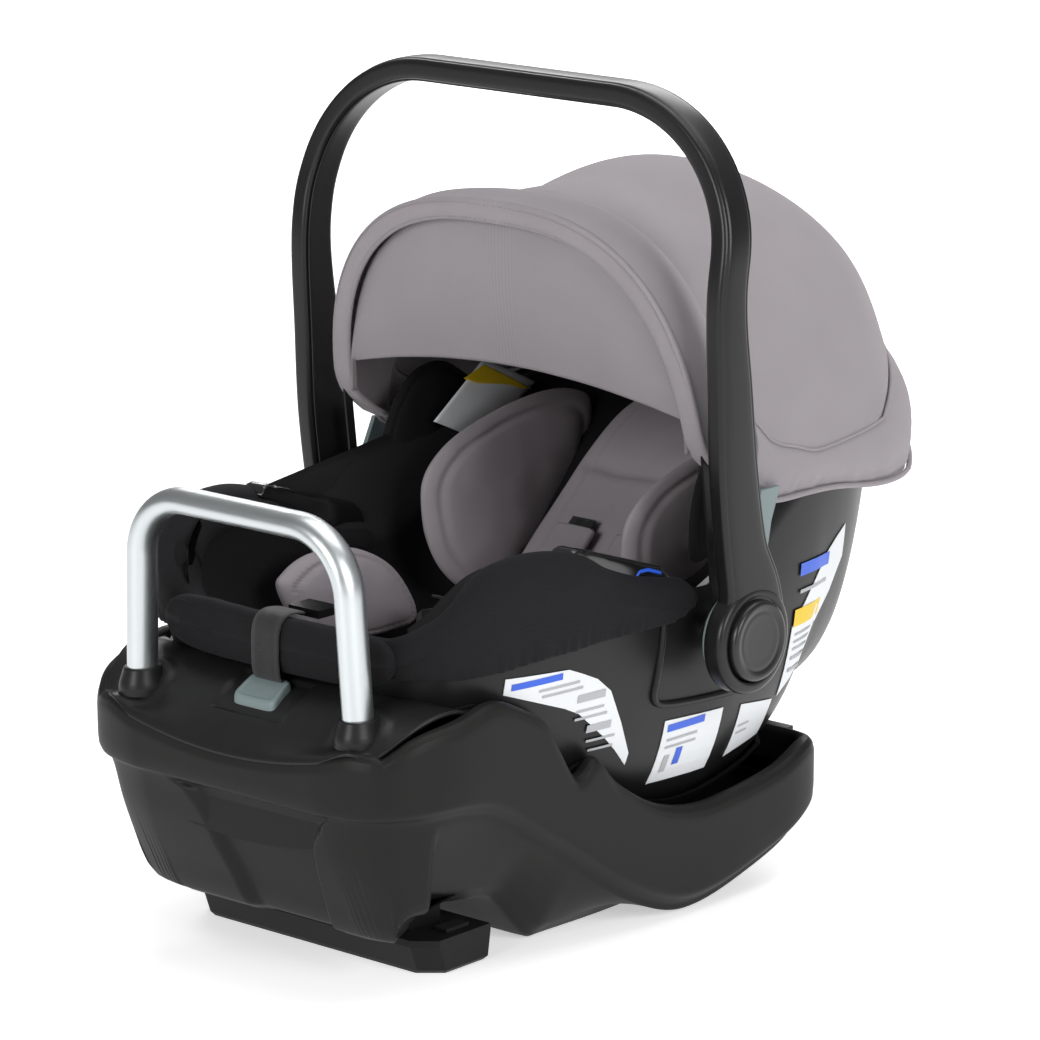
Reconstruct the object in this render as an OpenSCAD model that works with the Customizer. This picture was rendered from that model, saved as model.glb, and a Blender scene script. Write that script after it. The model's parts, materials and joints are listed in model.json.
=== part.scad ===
/* [Hub and handle] */
// Height of the handle pivot above the floor
hub_z = 218; // [214:1:222]
// Place of the handle pivot along the seat (foot end is negative)
hub_y = -10; // [-12:1:-8]
// Radius of the handle knuckle
knuckle_r = 41; // [38:1:42]
// Inner face of the handle arm, from the centre plane
arm_in = 196; // [195:0.5:197]
// Thickness of the handle arm
arm_t = 18; // [16:1:19]
// Radius from the pivot to the middle of the carry bar
handle_r = 393; // [391:1:396]
// Corner radius of the handle
handle_corner = 112; // [100:1:120]

/* [Canopy] */
// Widest half width of the rear hood
hood_w = 190; // [189:0.5:191]
// Hood radius above the pivot at its front edge
hood_r = 317; // [316:1:320]
// Half width of the moving front section
front_w = 184; // [182:0.5:184.5]
// Outer radius of the moving front section
front_r = 312; // [308:1:312.5]
// Cloth thickness of the canopy
cloth = 2.5; // [2:0.5:3]
// Forward lean of the canopy opening, in degrees
opening_lean = 9.2; // [7:0.1:10]
// Height of the hood's lower edge at the head end
skirt_z = 288; // [286:1:292]
// Height of the seam between the hood and its skirt
seam_z = 342; // [338:1:346]

/* [Carrier] */
// Widest half width of the carrier shell
shell_w = 170; // [168:0.5:171]
// Wall of the carrier shell
shell_wall = 4; // [3:0.5:5]
// Thickness of the seat pad
pad_t = 12; // [8:1:13]
// Depth of the infant insert
insert_t = 18; // [12:1:20]

/* [Base] */
// Widest half width of the base
base_w = 168; // [166:1:170]
// Wall of the base shell
base_wall = 3.5; // [3:0.5:4]
// Half width between the legs of the rebound bar at the deck
bar_x = 107; // [104:1:110]
// Top of the rebound bar above the floor
bar_top = 350; // [346:1:352]
// Gap between the carrier and the base tray
seat_gap = 2.5; // [2:0.5:3]

/* [Hidden] */
$fn = 64;

charcoal = [0.13, 0.13, 0.14];
satin_black = [0.09, 0.09, 0.10];
mauve = [0.42, 0.39, 0.41];
cloth_black = [0.11, 0.11, 0.13];
slate = [0.40, 0.43, 0.46];
silver = [0.72, 0.73, 0.75];
steel = [0.60, 0.61, 0.63];
belt_grey = [0.16, 0.16, 0.17];
mark_blue = [0.12, 0.32, 0.75];

arm_x = arm_in + arm_t / 2;
gap = 0.4;
hook_y = -252;
bar_y = hook_y + 12;
bar_z = 120;

// Stations along the seat: [y, value]
base_half = [[-352, 96], [-348, 118], [-340, 136], [-325, 151], [-300, 162], [-270, 167],
             [-200, base_w], [90, base_w], [125, 163], [142, 153], [151, 138]];
base_low = [[-352, 158], [-346, 136], [-334, 100], [-318, 64], [-304, 38], [-292, 31],
            [-158, 31], [-148, 6], [-138, 2], [-20, 2], [60, 14], [139, 42], [151, 60]];
base_rim = [[-352, 172], [-340, 180], [-315, 196], [-273, 205], [-241, 211], [-209, 199],
            [-187, 185], [-175, 166], [-156, 138], [-146, 138], [-132, 147], [-109, 124],
            [-63, 96], [-16, 84], [31, 85], [80, 91], [123, 102], [151, 100]];
base_crease = [[-352, 163], [-342, 144], [-243, 134], [-172, 93], [-80, 34], [-20, 12],
               [60, 24], [139, 52], [151, 70]];
deck_top = [[-344, 173], [-330, 186], [-315, 198], [-300, 207]];
shell_half = [[-284, 98], [-277, 124], [-258, 148], [-200, 163], [-100, 168], [0, shell_w],
              [100, 168], [180, 154], [240, 126], [270, 102], [290, 78], [306, 50]];
shell_low = [[-284, 222], [-276, 190], [-256, 150], [-200, 98], [-100, 55], [0, 43], [60, 46],
             [100, 56], [126, 74], [143, 104], [170, 108], [200, 116], [240, 180], [276, 276], [306, 368]];
shell_rim = [[-284, 242], [-274, 258], [-256, 281], [-232, 297], [-190, 300], [-150, 292],
             [-120, 276], [-80, 262], [-10, 252], [20, 262], [60, 300], [100, 326],
             [180, 348], [260, 372], [306, 388]];
seat_line = [[-284, 238], [-245, 222], [-200, 192], [-130, 150], [-70, 124], [-35, 120],
             [0, 142], [40, 188], [65, 216], [107, 258], [149, 298], [200, 336],
             [260, 370], [306, 387]];
hem_line = [[-284, 228], [-240, 234], [-60, 234], [-40, 240], [-20, 246]];

// ---- Shape helpers ----

// Cubic curve through the stations of a table
function span(x, t, i = 0) = (i >= len(t) - 2 || x < t[i + 1][0]) ? i : span(x, t, i + 1);
function rise(t, i, j) = (t[j][1] - t[i][1]) / (t[j][0] - t[i][0]);
function slope(t, i) = rise(t, max(i - 1, 0), min(i + 1, len(t) - 1));
function at(x, t) =
  let (i = span(x, t), h = t[i + 1][0] - t[i][0], u = max(0, min(1, (x - t[i][0]) / h)))
  (2 * u^3 - 3 * u^2 + 1) * t[i][1] + (u^3 - 2 * u^2 + u) * h * slope(t, i)
  + (3 * u^2 - 2 * u^3) * t[i + 1][1] + (u^3 - u^2) * h * slope(t, i + 1);

function spow(v, e) = sign(v) * pow(abs(v), e);
function flip(v) = [for (i = [len(v) - 1:-1:0]) v[i]];
function steps(a, b, n) = [for (i = [0:n]) a + (b - a) * i / n];

// Closed solid through a row of rings, with its faces turned outwards. Each half of a ring is an outer or an
// inner strip, and its quads are split the same way on both strips and on both sides of the object.
function volume6(p, f, i = 0, sum = 0) = i == len(f) ? sum
  : volume6(p, f, i + 1, sum + p[f[i][0]] * cross(p[f[i][1]], p[f[i][2]]));
module loft(rings) {
  n = len(rings[0]);
  m = len(rings);
  half = floor(n / 2);
  points = [for (r = rings) each r];
  sides = [for (j = [0:m - 2], i = [0:n - 1]) let (a = j * n + i, b = j * n + (i + 1) % n)
           each (i % half) < (half - 1) / 2 ? [[a, b, b + n], [a, b + n, a + n]] : [[a, b, a + n], [b, b + n, a + n]]];
  cap = [for (i = [0:ceil(n / 2) - 2]) each i + 1 < n - 2 - i
         ? [[i, i + 1, n - 1 - i], [i + 1, n - 2 - i, n - 1 - i]] : [[i, i + 1, n - 1 - i]]];
  all = concat(sides, [for (f = cap) flip(f)], [for (f = cap) [for (i = f) i + (m - 1) * n]]);
  outward = volume6(points, all) < 0;
  polyhedron(points, outward ? all : [for (f = all) flip(f)], convexity = 6);
}

// Tub section at one station: half width, lowest point, top, cut off at a height
function tub(w, low, top, cut, n = 3, k = 9) =
  let (reach = acos(min(1, pow(max(0, (top - cut) / (top - low)), n / 2))))
  [for (i = [-k:k]) let (a = reach * i / k)
   [w * spow(sin(a), 2 / n), top - (top - low) * pow(max(0, cos(a)), 2 / n)]];
function wall_ring(y, outer, inner) =
  [for (p = concat(outer, flip(inner))) [p[0], y, p[1]]];

// Tub between two insets of the carrier shell
function shell_curve(y, inset, low, cut) =
  tub(at(y, shell_half) - inset, low, at(y, shell_rim), cut);

// Bar along a path in the X-Z plane: points are [x, z, y, half thickness, half depth]
module bar(path, n = 2, sides = 20) {
  last = len(path) - 1;
  loft([for (i = [0:last])
    let (a = path[max(i - 1, 0)], b = path[min(i + 1, last)], p = path[i],
         d = [b[0] - a[0], b[1] - a[1]] / norm([b[0] - a[0], b[1] - a[1]]))
    [for (j = [0:sides - 1]) let (t = 360 * j / sides, s = p[3] * spow(cos(t), 2 / n))
     [p[0] - d[1] * s, p[2] + p[4] * spow(sin(t), 2 / n), p[1] + d[0] * s]]]);
}
function corner(cx, cz, r, a0, a1, n) = [for (a = steps(a0, a1, n)) [cx + r * cos(a), cz + r * sin(a)]];

// Arch of the hood at an angle behind the vertical, in the plane of the hub axis
function hood_reach(t) = at(t, [[0, hood_r], [25, 350], [45, 362], [60, 368], [76, 373]]);
function hood_foot(t) = at(t, [[0, 110], [40, 100], [76, 66]]);
function hood_power(t) = 2.65 - 0.25 * t / 75;
function skirt_low(t) = at(t, [[12, 327], [26, 311], [56, 306], [76, skirt_z]]);
function low_angle(t, z) =
  let (r = (z - hub_z) / cos(t), c = hood_foot(t))
  asin(min(1, pow(max(0, (r - c) / (hood_reach(t) - c)), hood_power(t) / 2)));
function hood_point(t, a, inset) =
  let (c = hood_foot(t), n = hood_power(t), r = c + (hood_reach(t) - inset - c) * pow(sin(a), 2 / n))
  [(hood_w - inset) * spow(cos(a), 2 / n), hub_y + r * sin(t), hub_z + r * cos(t)];
function hood_strip(t, a0, a1, inset, k) = [for (a = steps(a0, a1, k)) hood_point(t, a, inset)];
function hood_ring(t, a0, a1, k) =
  concat(hood_strip(t, a0, a1, 0, k), flip(hood_strip(t, a0, a1, cloth, k)));

// Profile of the moving front section: [half width, radius]
function front_profile(inset, foot = 118, k = 24) =
  let (n = 2.65, c = 110, top = front_r - inset,
       a0 = asin(pow((foot - c) / (top - c), n / 2)))
  [for (a = steps(a0, 180 - a0, k))
   [(front_w - inset) * spow(cos(a), 2 / n), c + (top - c) * pow(sin(a), 2 / n)]];
// Turns a profile [x, radius] about the hub axis, from one lean to another (foot-ward is positive)
module about_hub(from, to) {
  translate([0, hub_y, hub_z]) rotate([0, 90, 0]) rotate([0, 0, 180 + from])
    rotate_extrude(angle = to - from, $fn = 180) children();
}
module profile_band(inset0, inset1, foot) {
  p = concat(front_profile(inset0, foot), flip(front_profile(inset1, foot)));
  polygon([for (q = p) [q[1], q[0]]]);
}

module both_sides() {
  children();
  mirror([1, 0, 0]) children();
}
// Cylinder along X between two distances from the centre plane
module disc(x0, x1, r, y = hub_y, z = hub_z) {
  translate([x0, y, z]) rotate([0, 90, 0]) cylinder(r = r, h = x1 - x0);
}
module block(x, y, z) {
  translate([x[0], y[0], z[0]]) cube([x[1] - x[0], y[1] - y[0], z[1] - z[0]]);
}

// ---- Base ----

function base_half_ring(y, d) =
  let (w = at(y, base_half), low = lookup(y, base_low), rim = lookup(y, base_rim),
       c = max(lookup(y, base_crease), low + 4), foot = min(116, w - 22), waist = w - 13)
  [[w - d, rim], [w - d - 0.5, (rim + c) / 2], [waist - d, c + d * 0.6],
   [(waist + foot) / 2 - d, (c + low) / 2 + d * 0.6], [foot - d, low + 7 + d * 0.5],
   [foot - 9 - d, low + d], [foot * 0.5, low + d]];
function base_ring(y) =
  let (r = base_half_ring(y, 0), solid = y < -349 || y > 148,
       s = [for (p = base_half_ring(y, base_wall)) [p[0], solid ? lookup(y, base_rim) - 1.5 + p[0] / 200 : p[1]]])
  wall_ring(y, concat(r, flip([for (p = r) [-p[0], p[1]]])), concat(s, flip([for (p = s) [-p[0], p[1]]])));

module base_shell() {
  ys = [-352, -350, -348, -344, -338, -330, -320, -310, -300, -285, -260, -241, -220, -200, -187, -175,
        -156, -146, -132, -109, -85, -63, -40, -16, 31, 60, 90, 123, 138, 147.4, 148.2, 151];
  color(charcoal) difference() {
    loft([for (y = ys) base_ring(y)]);
    both_sides() block([70, 90], [-252, -212], [20, 40]);
  }
}

module base_deck() {
  ys = [-342, -336, -328, -315, -300];
  color(charcoal) difference() {
    loft([for (y = ys) let (w = at(y, base_half) - base_wall - 1, z = lookup(y, deck_top))
      [[-w, y, z - 6], [w, y, z - 6], [w, y, z - 1.5], [w - 2, y, z], [-w + 2, y, z], [-w, y, z - 1.5]]]);
    both_sides() block([bar_x - 16.5, bar_x + 16.5], [-338.5, -305.5], [160, 215]);
    block([-24, 24], [-322, -290], [160, 215]);
    both_sides() block([79, 91], [-330, -318], [160, 215]);
  }
}

module base_tray() {
  ys = concat(steps(-262, -150, 8), steps(-135, 131, 12));
  color(satin_black) difference() {
    loft([for (y = ys)
      let (cut = lookup(y, base_rim) - 2, low = at(y, shell_low) - seat_gap)
      wall_ring(y, shell_curve(y, -seat_gap - 3, low - 3, cut), shell_curve(y, -seat_gap, low, cut))]);
    block([-36, 36], [hook_y - 16, hook_y + 26], [80, 170]);
  }
}

module grip_pads() {
  color(satin_black) both_sides() for (y = [-128, -40])
    block([60, 96], [y, y + 26], [0, 1.9]);
}

// Legs lean a little towards each other up to the rounded top corners
module rebound_bar() {
  r = 48;
  top = bar_top - 12.5;
  y0 = -322;
  side = [for (z = [186, 230, top - r]) [bar_x - (z - 200) * 0.05, z]];
  arc = corner(side[2][0] - r, top - r, r, 12, 90, 7);
  half = concat(side, arc);
  path = concat(half, flip([for (p = half) [-p[0], p[1]]]));
  color(silver) bar([for (p = path) [p[0], p[1], y0 - (p[1] - 200) * 0.03, 9.8, 12.8]], 2.3);
}

module rebound_collars() {
  color(satin_black) both_sides() difference() {
    hull() {
      translate([bar_x, -322, 186]) cylinder(r = 16, h = 1, $fn = 32);
      translate([bar_x, -322, 199]) cylinder(r = 13.6, h = 1, $fn = 32);
    }
    translate([bar_x, -322, 180]) linear_extrude(30) square([20.8, 26.6], center = true);
  }
}

module deck_screws() {
  color(steel) both_sides() translate([85, -324, 184]) {
    cylinder(r = 4, h = 3);
    translate([0, 0, -14]) cylinder(r = 1.8, h = 14);
  }
}

module recline_foot() {
  color(charcoal) {
    loft([for (s = [[0, -257, -202], [3, -259, -200], [22, -266, -197], [27, -266, -197]])
      let (z = s[0], a = s[1], b = s[2], w = z < 2 ? 117 : 120)
      [[-w, a + 14, z], [-w + 16, a, z], [w - 16, a, z], [w, a + 14, z], [w, b, z], [-w, b, z]]]);
    both_sides() block([73, 87], [-249, -215], [26.5, 96]);
  }
}

module foot_pads() {
  color(satin_black) both_sides() block([100, 112], [-236, -212], [27.2, 30]);
}

// Lever pad at the back of the deck, pressed down to free the carrier
module release_button() {
  color(slate) loft([for (s = [[-319, 190, 196.5], [-317, 188, 199], [-301, 196, 209], [-297, 197, 210],
                               [-294, 198, 208]])
    let (y = s[0], a = s[1], b = s[2], w = 22.5)
    [[-w, y, a], [w, y, a], [w, y, b - 2], [w - 2.5, y, b], [-w + 2.5, y, b], [-w, y, b - 2]]]);
}

module coil(turns, r, wire, h) {
  rings = turns * 12;
  loft([for (i = [0:rings]) let (a = 360 * i / 12, z = h * i / rings)
    [for (t = [0:60:300]) [(r + wire * cos(t)) * cos(a), (r + wire * cos(t)) * sin(a), z + wire * sin(t)]]]);
}

module release_spring() {
  color(steel) translate([0, -304, 164]) coil(5, 6, 0.9, 21);
}

// Hook on a cross pin, standing beside the carrier's lock bar
module lock_hook() {
  color(steel) translate([0, hook_y, 92]) difference() {
    union() {
      rotate([0, 90, 0]) cylinder(r = 9, h = 16, center = true);
      block([-8, 8], [-4, 4], [0, 38]);
      block([-8, 8], [-4, 7.4], [33, 38]);
    }
    rotate([0, 90, 0]) cylinder(r = 4.05, h = 30, center = true);
  }
}

module hook_pin() {
  color(steel) disc(-40, 40, 4, hook_y, 92);
}

module hook_spring() {
  color(steel) translate([12, hook_y, 92]) rotate([0, 90, 0]) coil(4, 6.5, 0.8, 14);
}

module anchor_belt() {
  color(belt_grey) block([-90, 90], [151.3, 152.9], [74, 94]);
}

module anchor_clips() {
  color(satin_black) both_sides() block([90.4, 118], [151.2, 160], [70, 98]);
}

// ---- Carrier ----

shell_ys = [-284, -281, -276, -268, -258, -242, -225, -200, -170, -140, -110, -80, -45, -10, 25, 60,
            95, 115, 130, 143, 160, 190, 215, 240, 262, 280, 294, 302, 306];

module carrier_shell() {
  color(satin_black) loft([for (y = shell_ys)
    let (low = at(y, shell_low), rim = at(y, shell_rim), plug = y < -280 || y > 300)
    wall_ring(y, shell_curve(y, 0, low, rim),
              shell_curve(y, shell_wall, plug ? rim - 1.5 : low + shell_wall + 1, rim))]);
}

// Raised rails on both sides of the shell, standing on its outer face
module shell_ribs() {
  route = [[-66, 214], [-53, 208], [-40, 200], [-31, 189], [-24, 176], [-19, 162], [-16, 148], [-15, 130], [-14, 112]];
  color(satin_black) both_sides() loft([for (p = route) let (x = side_x(p[0], p[1]) + 1)
    [[x + 0.2, p[0] - 5, p[1]], [x + 4, p[0] - 3, p[1]], [x + 4, p[0] + 3, p[1]], [x + 0.2, p[0] + 5, p[1]]]]);
}

pad_ys = [for (y = shell_ys) if (y > -276 && y < 297) y];
function foam_top(y) = at(y, seat_line) - insert_t - pad_t - 4;

module foam_liner() {
  ys = [for (y = pad_ys) if (y > -250 && y < 255) y];
  color("white") loft([for (y = ys) let (rim = at(y, shell_rim) - 3, low = at(y, shell_low) + shell_wall + 5)
    wall_ring(y, shell_curve(y, shell_wall + 2.5, low, rim),
              shell_curve(y, shell_wall + 8, max(foam_top(y), low + 4), rim))]);
}

module seat_pad() {
  color(cloth_black) loft([for (y = pad_ys)
    let (rim = at(y, shell_rim), low = max(foam_top(y), at(y, shell_low) + shell_wall + 9) + 1.5,
         top = min(low + pad_t, rim - 3))
    wall_ring(y, shell_curve(y, shell_wall + 8 + gap, low, rim),
              shell_curve(y, shell_wall + 8 + gap + pad_t, top, rim))]);
}

// Cover's edge, folded over the shell's rim and hanging outside it
module pad_rim() {
  ys = concat([-278, -272], steps(-262, -20, 16));
  module side() {
    loft([for (y = ys) let (w = at(y, shell_half), rim = at(y, shell_rim), hem = min(at(y, hem_line), rim - 2))
      [[w + 1, y, hem], [w + 5, y, hem], [w + 6, y, hem + 4], [w + 6, y, rim], [w + 3, y, rim + 6],
       [w - 6, y, rim + 9], [w - 16, y, rim + 8], [w - 23, y, rim + 4], [w - 24, y, rim + 1], [w + 1, y, rim + 1]]]);
  }
  color(cloth_black) both_sides() side();
}

module foot_roll() {
  color(cloth_black) loft([for (x = steps(-112, 112, 14))
    let (y = -293.2 + 3 * (x / 112)^4, h = 19 - 6 * (x / 112)^6, z = 234 + 10 * (x / 112)^2)
    [for (t = [0:30:330]) [x, y + 6.6 * spow(cos(t), 0.8), z + h * spow(sin(t), 0.8)]]]);
}

module head_wings() {
  color(cloth_black) both_sides() loft([for (s = [[-14, 276], [-8, 318], [10, 350], [34, 364], [60, 364],
                                                [88, 350], [102, 342]])
    let (y = s[0], b = s[1], a = min(at(y, shell_rim) + 10, b - 3), w = at(y, shell_half) - 6)
    [[w - 14, y, a], [w, y, a], [w - 3, y, b - 2], [w - 7, y, b], [w - 15, y, b - 1], [w - 18, y, b - 2]]]);
}

module insert_back() {
  ys = steps(-150, 215, 18);
  color(mauve) loft([for (y = ys) let (z = at(y, seat_line), w = 78 - 18 * abs(y - 40) / 190,
                                       us = steps(-1, 1, 10))
    concat([for (u = us) [w * u, y, z - 2 + 8 * u^4]],
           flip([for (u = us) [w * u, y, z - insert_t + 4 + 8 * u^4]]))]);
}

module insert_wings() {
  color(mauve) both_sides() loft([for (s = [[-14, 214, 258], [0, 210, 298], [30, 226, 320], [60, 246, 330],
                                          [100, 276, 336], [140, 306, 334], [180, 332, 346]])
    let (y = s[0], a = s[1], b = s[2])
    [[82, y, a], [110, y, a + 6], [119, y, (a + b) / 2 + 8], [116, y, b - 3], [110, y, b], [101, y, b - 2],
     [94, y, (a + b) / 2 + 6]]]);
}

module hip_bolsters() {
  color(mauve) both_sides() loft([for (s = [[-176, 210, 224, 6], [-160, 196, 240, 14], [-120, 176, 248, 20],
                                          [-80, 166, 238, 20], [-44, 172, 214, 16], [-28, 180, 200, 8]])
    let (y = s[0], a = s[1], b = s[2], w = s[3])
    [for (t = [0:30:330]) [104 + w * cos(t), y, (a + b) / 2 + (b - a) / 2 * sin(t)]]]);
}

module crotch_strap() {
  color(belt_grey) translate([0, -92, 0]) rotate([0, 0, 0]) block([-12, 12], [-1, 1], [150, 176]);
}

module buckle() {
  color(charcoal) difference() {
    translate([0, -92, 176.3]) loft([for (s = [[0, 20, 8], [4, 24, 10], [34, 26, 10], [40, 24, 8]])
      [for (t = [0:20:340]) [s[1] * spow(cos(t), 0.5), s[2] * spow(sin(t), 0.5), s[0]]]]);
    block([-12, 12], [-106, -93.5], [186, 206]);
  }
}

module buckle_button() {
  color([0.75, 0.10, 0.10]) block([-11.5, 11.5], [-103.4, -96.3], [186.5, 205.5]);
}

module hip_straps() {
  color(belt_grey) both_sides() loft([for (p = [[27, -92, 205], [44, -88, 200], [64, -72, 190], [78, -50, 182]])
    [[p[0], p[1] - 1, p[2] - 12], [p[0], p[1] + 1, p[2] - 12], [p[0], p[1] + 1, p[2] + 12], [p[0], p[1] - 1, p[2] + 12]]]);
}

// Straps rise from the buckle along the seat back to their slots
module shoulder_straps() {
  color(belt_grey) both_sides() loft([for (p = [[30, -80, 222, 1], [30, -40, 205, 1], [30, 0, 205, 1],
                                              [30, 30, 214, 1], [30, 60, 232, 1], [30, 84, 252, 1]])
    [[p[0] - 12, p[1], p[2] - 1], [p[0] + 12, p[1], p[2] - 1], [p[0] + 12, p[1], p[2] + 1], [p[0] - 12, p[1], p[2] + 1]]]);
}

module strap_covers() {
  color(cloth_black) both_sides() loft([for (p = [[-20, 201], [0, 201], [30, 210], [60, 228], [74, 240]])
    [[12, p[0], p[1] + 6], [48, p[0], p[1] + 6], [48, p[0], p[1] + 11], [12, p[0], p[1] + 11]]]);
}

module chest_clip() {
  color(charcoal) translate([0, -36, 210.2]) difference() {
    block([-44, 44], [-14, 14], [0, 7]);
    both_sides() block([17, 43.2], [-10, -4], [-1, 3]);
  }
}

// Flat strap through points [y, z], between two distances from the centre plane
module strap(path, x0, x1, t) {
  last = len(path) - 1;
  loft([for (i = [0:last])
    let (a = path[max(i - 1, 0)], b = path[min(i + 1, last)], p = path[i],
         n = t / 2 * [a[1] - b[1], b[0] - a[0]] / norm(b - a))
    [[x0, p[0] - n[0], p[1] - n[1]], [x1, p[0] - n[0], p[1] - n[1]],
     [x1, p[0] + n[0], p[1] + n[1]], [x0, p[0] + n[0], p[1] + n[1]]]]);
}

module adjuster_strap() {
  color(belt_grey) strap([[-279, 255.6], [-290, 256], [-299, 252.5], [-301.4, 244], [-301.4, 216]], -10, 10, 1.4);
}

module adjuster_button() {
  color(slate) translate([0, -252, 250]) block([-15, 15], [-12, 10], [0, 6]);
}

module splitter_plate() {
  color(steel) difference() {
    block([-24, 24], [252, 254], [146, 196]);
    block([-18, 18], [251, 255], [180, 187]);
  }
}

// Open hooks on the rim that guide the vehicle belt when no base is used
module belt_guides() {
  color(satin_black) both_sides() {
    for (y = [-150, -62]) block([153, 160], [y, y + 8], [lookup(y, [[-150, 303], [-62, 275]]), 313 - (y + 150) * 0.45]);
    loft([for (p = [[-150, 313], [-120, 309], [-90, 295], [-54, 270]])
      [[152, p[0], p[1]], [161, p[0], p[1]], [161, p[0], p[1] + 6], [152, p[0], p[1] + 6]]]);
  }
}

module belt_marks() {
  color(mark_blue) both_sides() loft([for (p = [[-140, 318.3], [-120, 315.6], [-100, 307.3]])
    [[154, p[0], p[1]], [159, p[0], p[1]], [159, p[0], p[1] + 1.2], [154, p[0], p[1] + 1.2]]]);
}

// Blank instruction panels, lying on the sides of the shell
function side_x(y, z) =
  let (low = at(y, shell_low), rim = at(y, shell_rim))
  at(y, shell_half) * pow(1 - pow(max(0, (rim - z) / (rim - low)), 3), 1 / 3);
module panel(ys, lows, tops, k = 5) {
  loft([for (y = ys) let (a = lookup(y, lows), b = lookup(y, tops), zs = steps(a, b, k))
    concat([for (z = zs) [side_x(y, z) + 0.9, y, z]], flip([for (z = zs) [side_x(y, z) + 0.4, y, z]]))]);
}
module label_plates() {
  color("white") both_sides() {
    panel(steps(-222, -86, 9), [[-222, 210], [-150, 184], [-110, 152], [-86, 128]],
          [[-222, 222], [-160, 218], [-120, 200], [-86, 138]]);
    panel(steps(-52, 16, 4), [[-52, 104], [16, 102]], [[-52, 156], [16, 152]]);
    panel(steps(42, 92, 4), [[42, 104], [92, 110]], [[42, 148], [92, 140]]);
    panel(steps(100, 176, 5), [[100, 140], [130, 160], [176, 236]], [[100, 196], [150, 250], [176, 262]]);
  }
}

module lock_bar() {
  color(steel) {
    disc(-30, 30, 4, bar_y, bar_z);
    both_sides() block([24, 30], [bar_y - 4, bar_y + 4], [bar_z, bar_z + 7]);
  }
}

module pivot_pins() {
  color(steel) both_sides() disc(165.6, 202.6, 9);
}

// Toothed plates that the pressed hub buttons free
module detent_plates() {
  color(slate) both_sides() difference() {
    union() {
      disc(185.6, 195.6, 22);
      for (a = [0:30:330]) translate([185.6, hub_y, hub_z]) rotate([a, 0, 0]) block([0, 10], [-3, 3], [20, 26]);
    }
    disc(180, 200, 9.05);
  }
}

module canopy_dome() {
  ts = [0, 4, 10, 18, 26, 34, 42, 49, 55, 60];
  color(mauve) loft([for (t = ts) let (a = low_angle(t, seam_z)) hood_ring(t, a, 180 - a, 24)]);
}

module canopy_skirt() {
  color(mauve) {
    loft([for (t = [60.1, 63, 66, 69, 72, 74, 76]) let (a = low_angle(t, skirt_low(t))) hood_ring(t, a, 180 - a, 18)]);
    both_sides() loft([for (t = [14, 22, 30, 38, 46, 52, 56, 60])
      hood_ring(t, low_angle(t, skirt_low(t)), low_angle(t, seam_z) - 0.3, 4)]);
  }
}

// Grey arms that carry the hood from the hub
module canopy_brackets() {
  color(slate) both_sides() difference() {
    union() {
      disc(190.8, 194.6, 33);
      loft([for (s = [[30, -6, 24], [52, 6, 36], [80, 18, 42], [104, 30, 52]])
        let (z = hub_z + s[0], a = hub_y + s[1], b = hub_y + s[2])
        [[190.8, a, z], [194.6, a, z], [194.6, b, z], [190.8, b, z]]]);
    }
    disc(180, 200, 26.6);
  }
}

module canopy_bow() {
  color(satin_black) {
    about_hub(opening_lean - 4, opening_lean - 1) profile_band(3.6, 6.2, 152);
    both_sides() difference() {
      union() {
        disc(176.8, 183, 18);
        translate([0, hub_y, hub_z]) rotate([opening_lean - 2.5, 0, 0]) block([176.8, 178.6], [-4, 4], [14, 150]);
      }
      disc(175, 186, 9.05);
    }
  }
}

module canopy_front() {
  color(mauve) about_hub(-8, opening_lean - 3) profile_band(0, cloth, 128);
}

module canopy_binding() {
  color(mauve) about_hub(opening_lean - 2.9, opening_lean) profile_band(0, 3, 128);
}

module visor() {
  inner = front_profile(8, 168, 20);
  top = [for (p = inner) [p[0], p[1] * cos(6)]];
  low = flip([for (p = top) [p[0] * 0.98, 168 + 12 * cos(p[0] / 2)]]);
  color(mauve) translate([0, hub_y, hub_z]) rotate([6, 0, 0]) rotate([90, 0, 0])
    linear_extrude(2.5) polygon(concat(top, low));
}

// ---- Handle ----

// Middle and half depth of the handle, along the seat, at a height above the floor
handle_mid = [[250, -7], [285, -17], [340, -26], [400, -31], [474, -36], [534, -27], [600, -20], [640, -20]];
handle_deep = [[250, 27], [285, 24], [340, 22], [400, 19.5], [474, 16], [640, 16]];

function handle_path(inward, half_t, trim, from) =
  let (r = handle_corner - inward, x = arm_x - inward, top = hub_z + handle_r - inward,
       half = concat([for (z = steps(from, top - r - 15, 8)) [x, z]], corner(x - r, top - r, r, 0, 90, 10)),
       path = concat(half, flip([for (p = half) [-p[0], p[1]]])))
  [for (p = path) [p[0], p[1], at(p[1], handle_mid), half_t, at(p[1], handle_deep) - trim]];

module handle_bow() {
  color(satin_black) difference() {
    bar(handle_path(-1, 8, 0, 250), 5, 24);
    both_sides() disc(arm_in - 2, arm_in + arm_t + 2, knuckle_r + 0.2);
  }
}

// Inner half of the handle, closing the moulding along the edge seams
module handle_liner() {
  color(satin_black) bar(handle_path(8.1, 0.9, 3.5, 275), 5, 16);
}

module handle_knuckles() {
  color(satin_black) both_sides() difference() {
    disc(arm_in, arm_in + arm_t, knuckle_r);
    disc(arm_in - 1, arm_in + 7, 9.05);
    disc(arm_in + 6.9, arm_in + arm_t + 1, 31);
  }
}

module hub_button() {
  disc(arm_in + 12, arm_in + arm_t + 6, 30.6);
}
module hub_button_right() {
  color(satin_black) hub_button();
}
module hub_button_left() {
  color(satin_black) mirror([1, 0, 0]) hub_button();
}

module button_springs() {
  color(steel) both_sides() difference() {
    disc(arm_in + 6.9, arm_in + 7.8, 21);
    disc(arm_in + 6, arm_in + 9, 18.6);
  }
}

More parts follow.
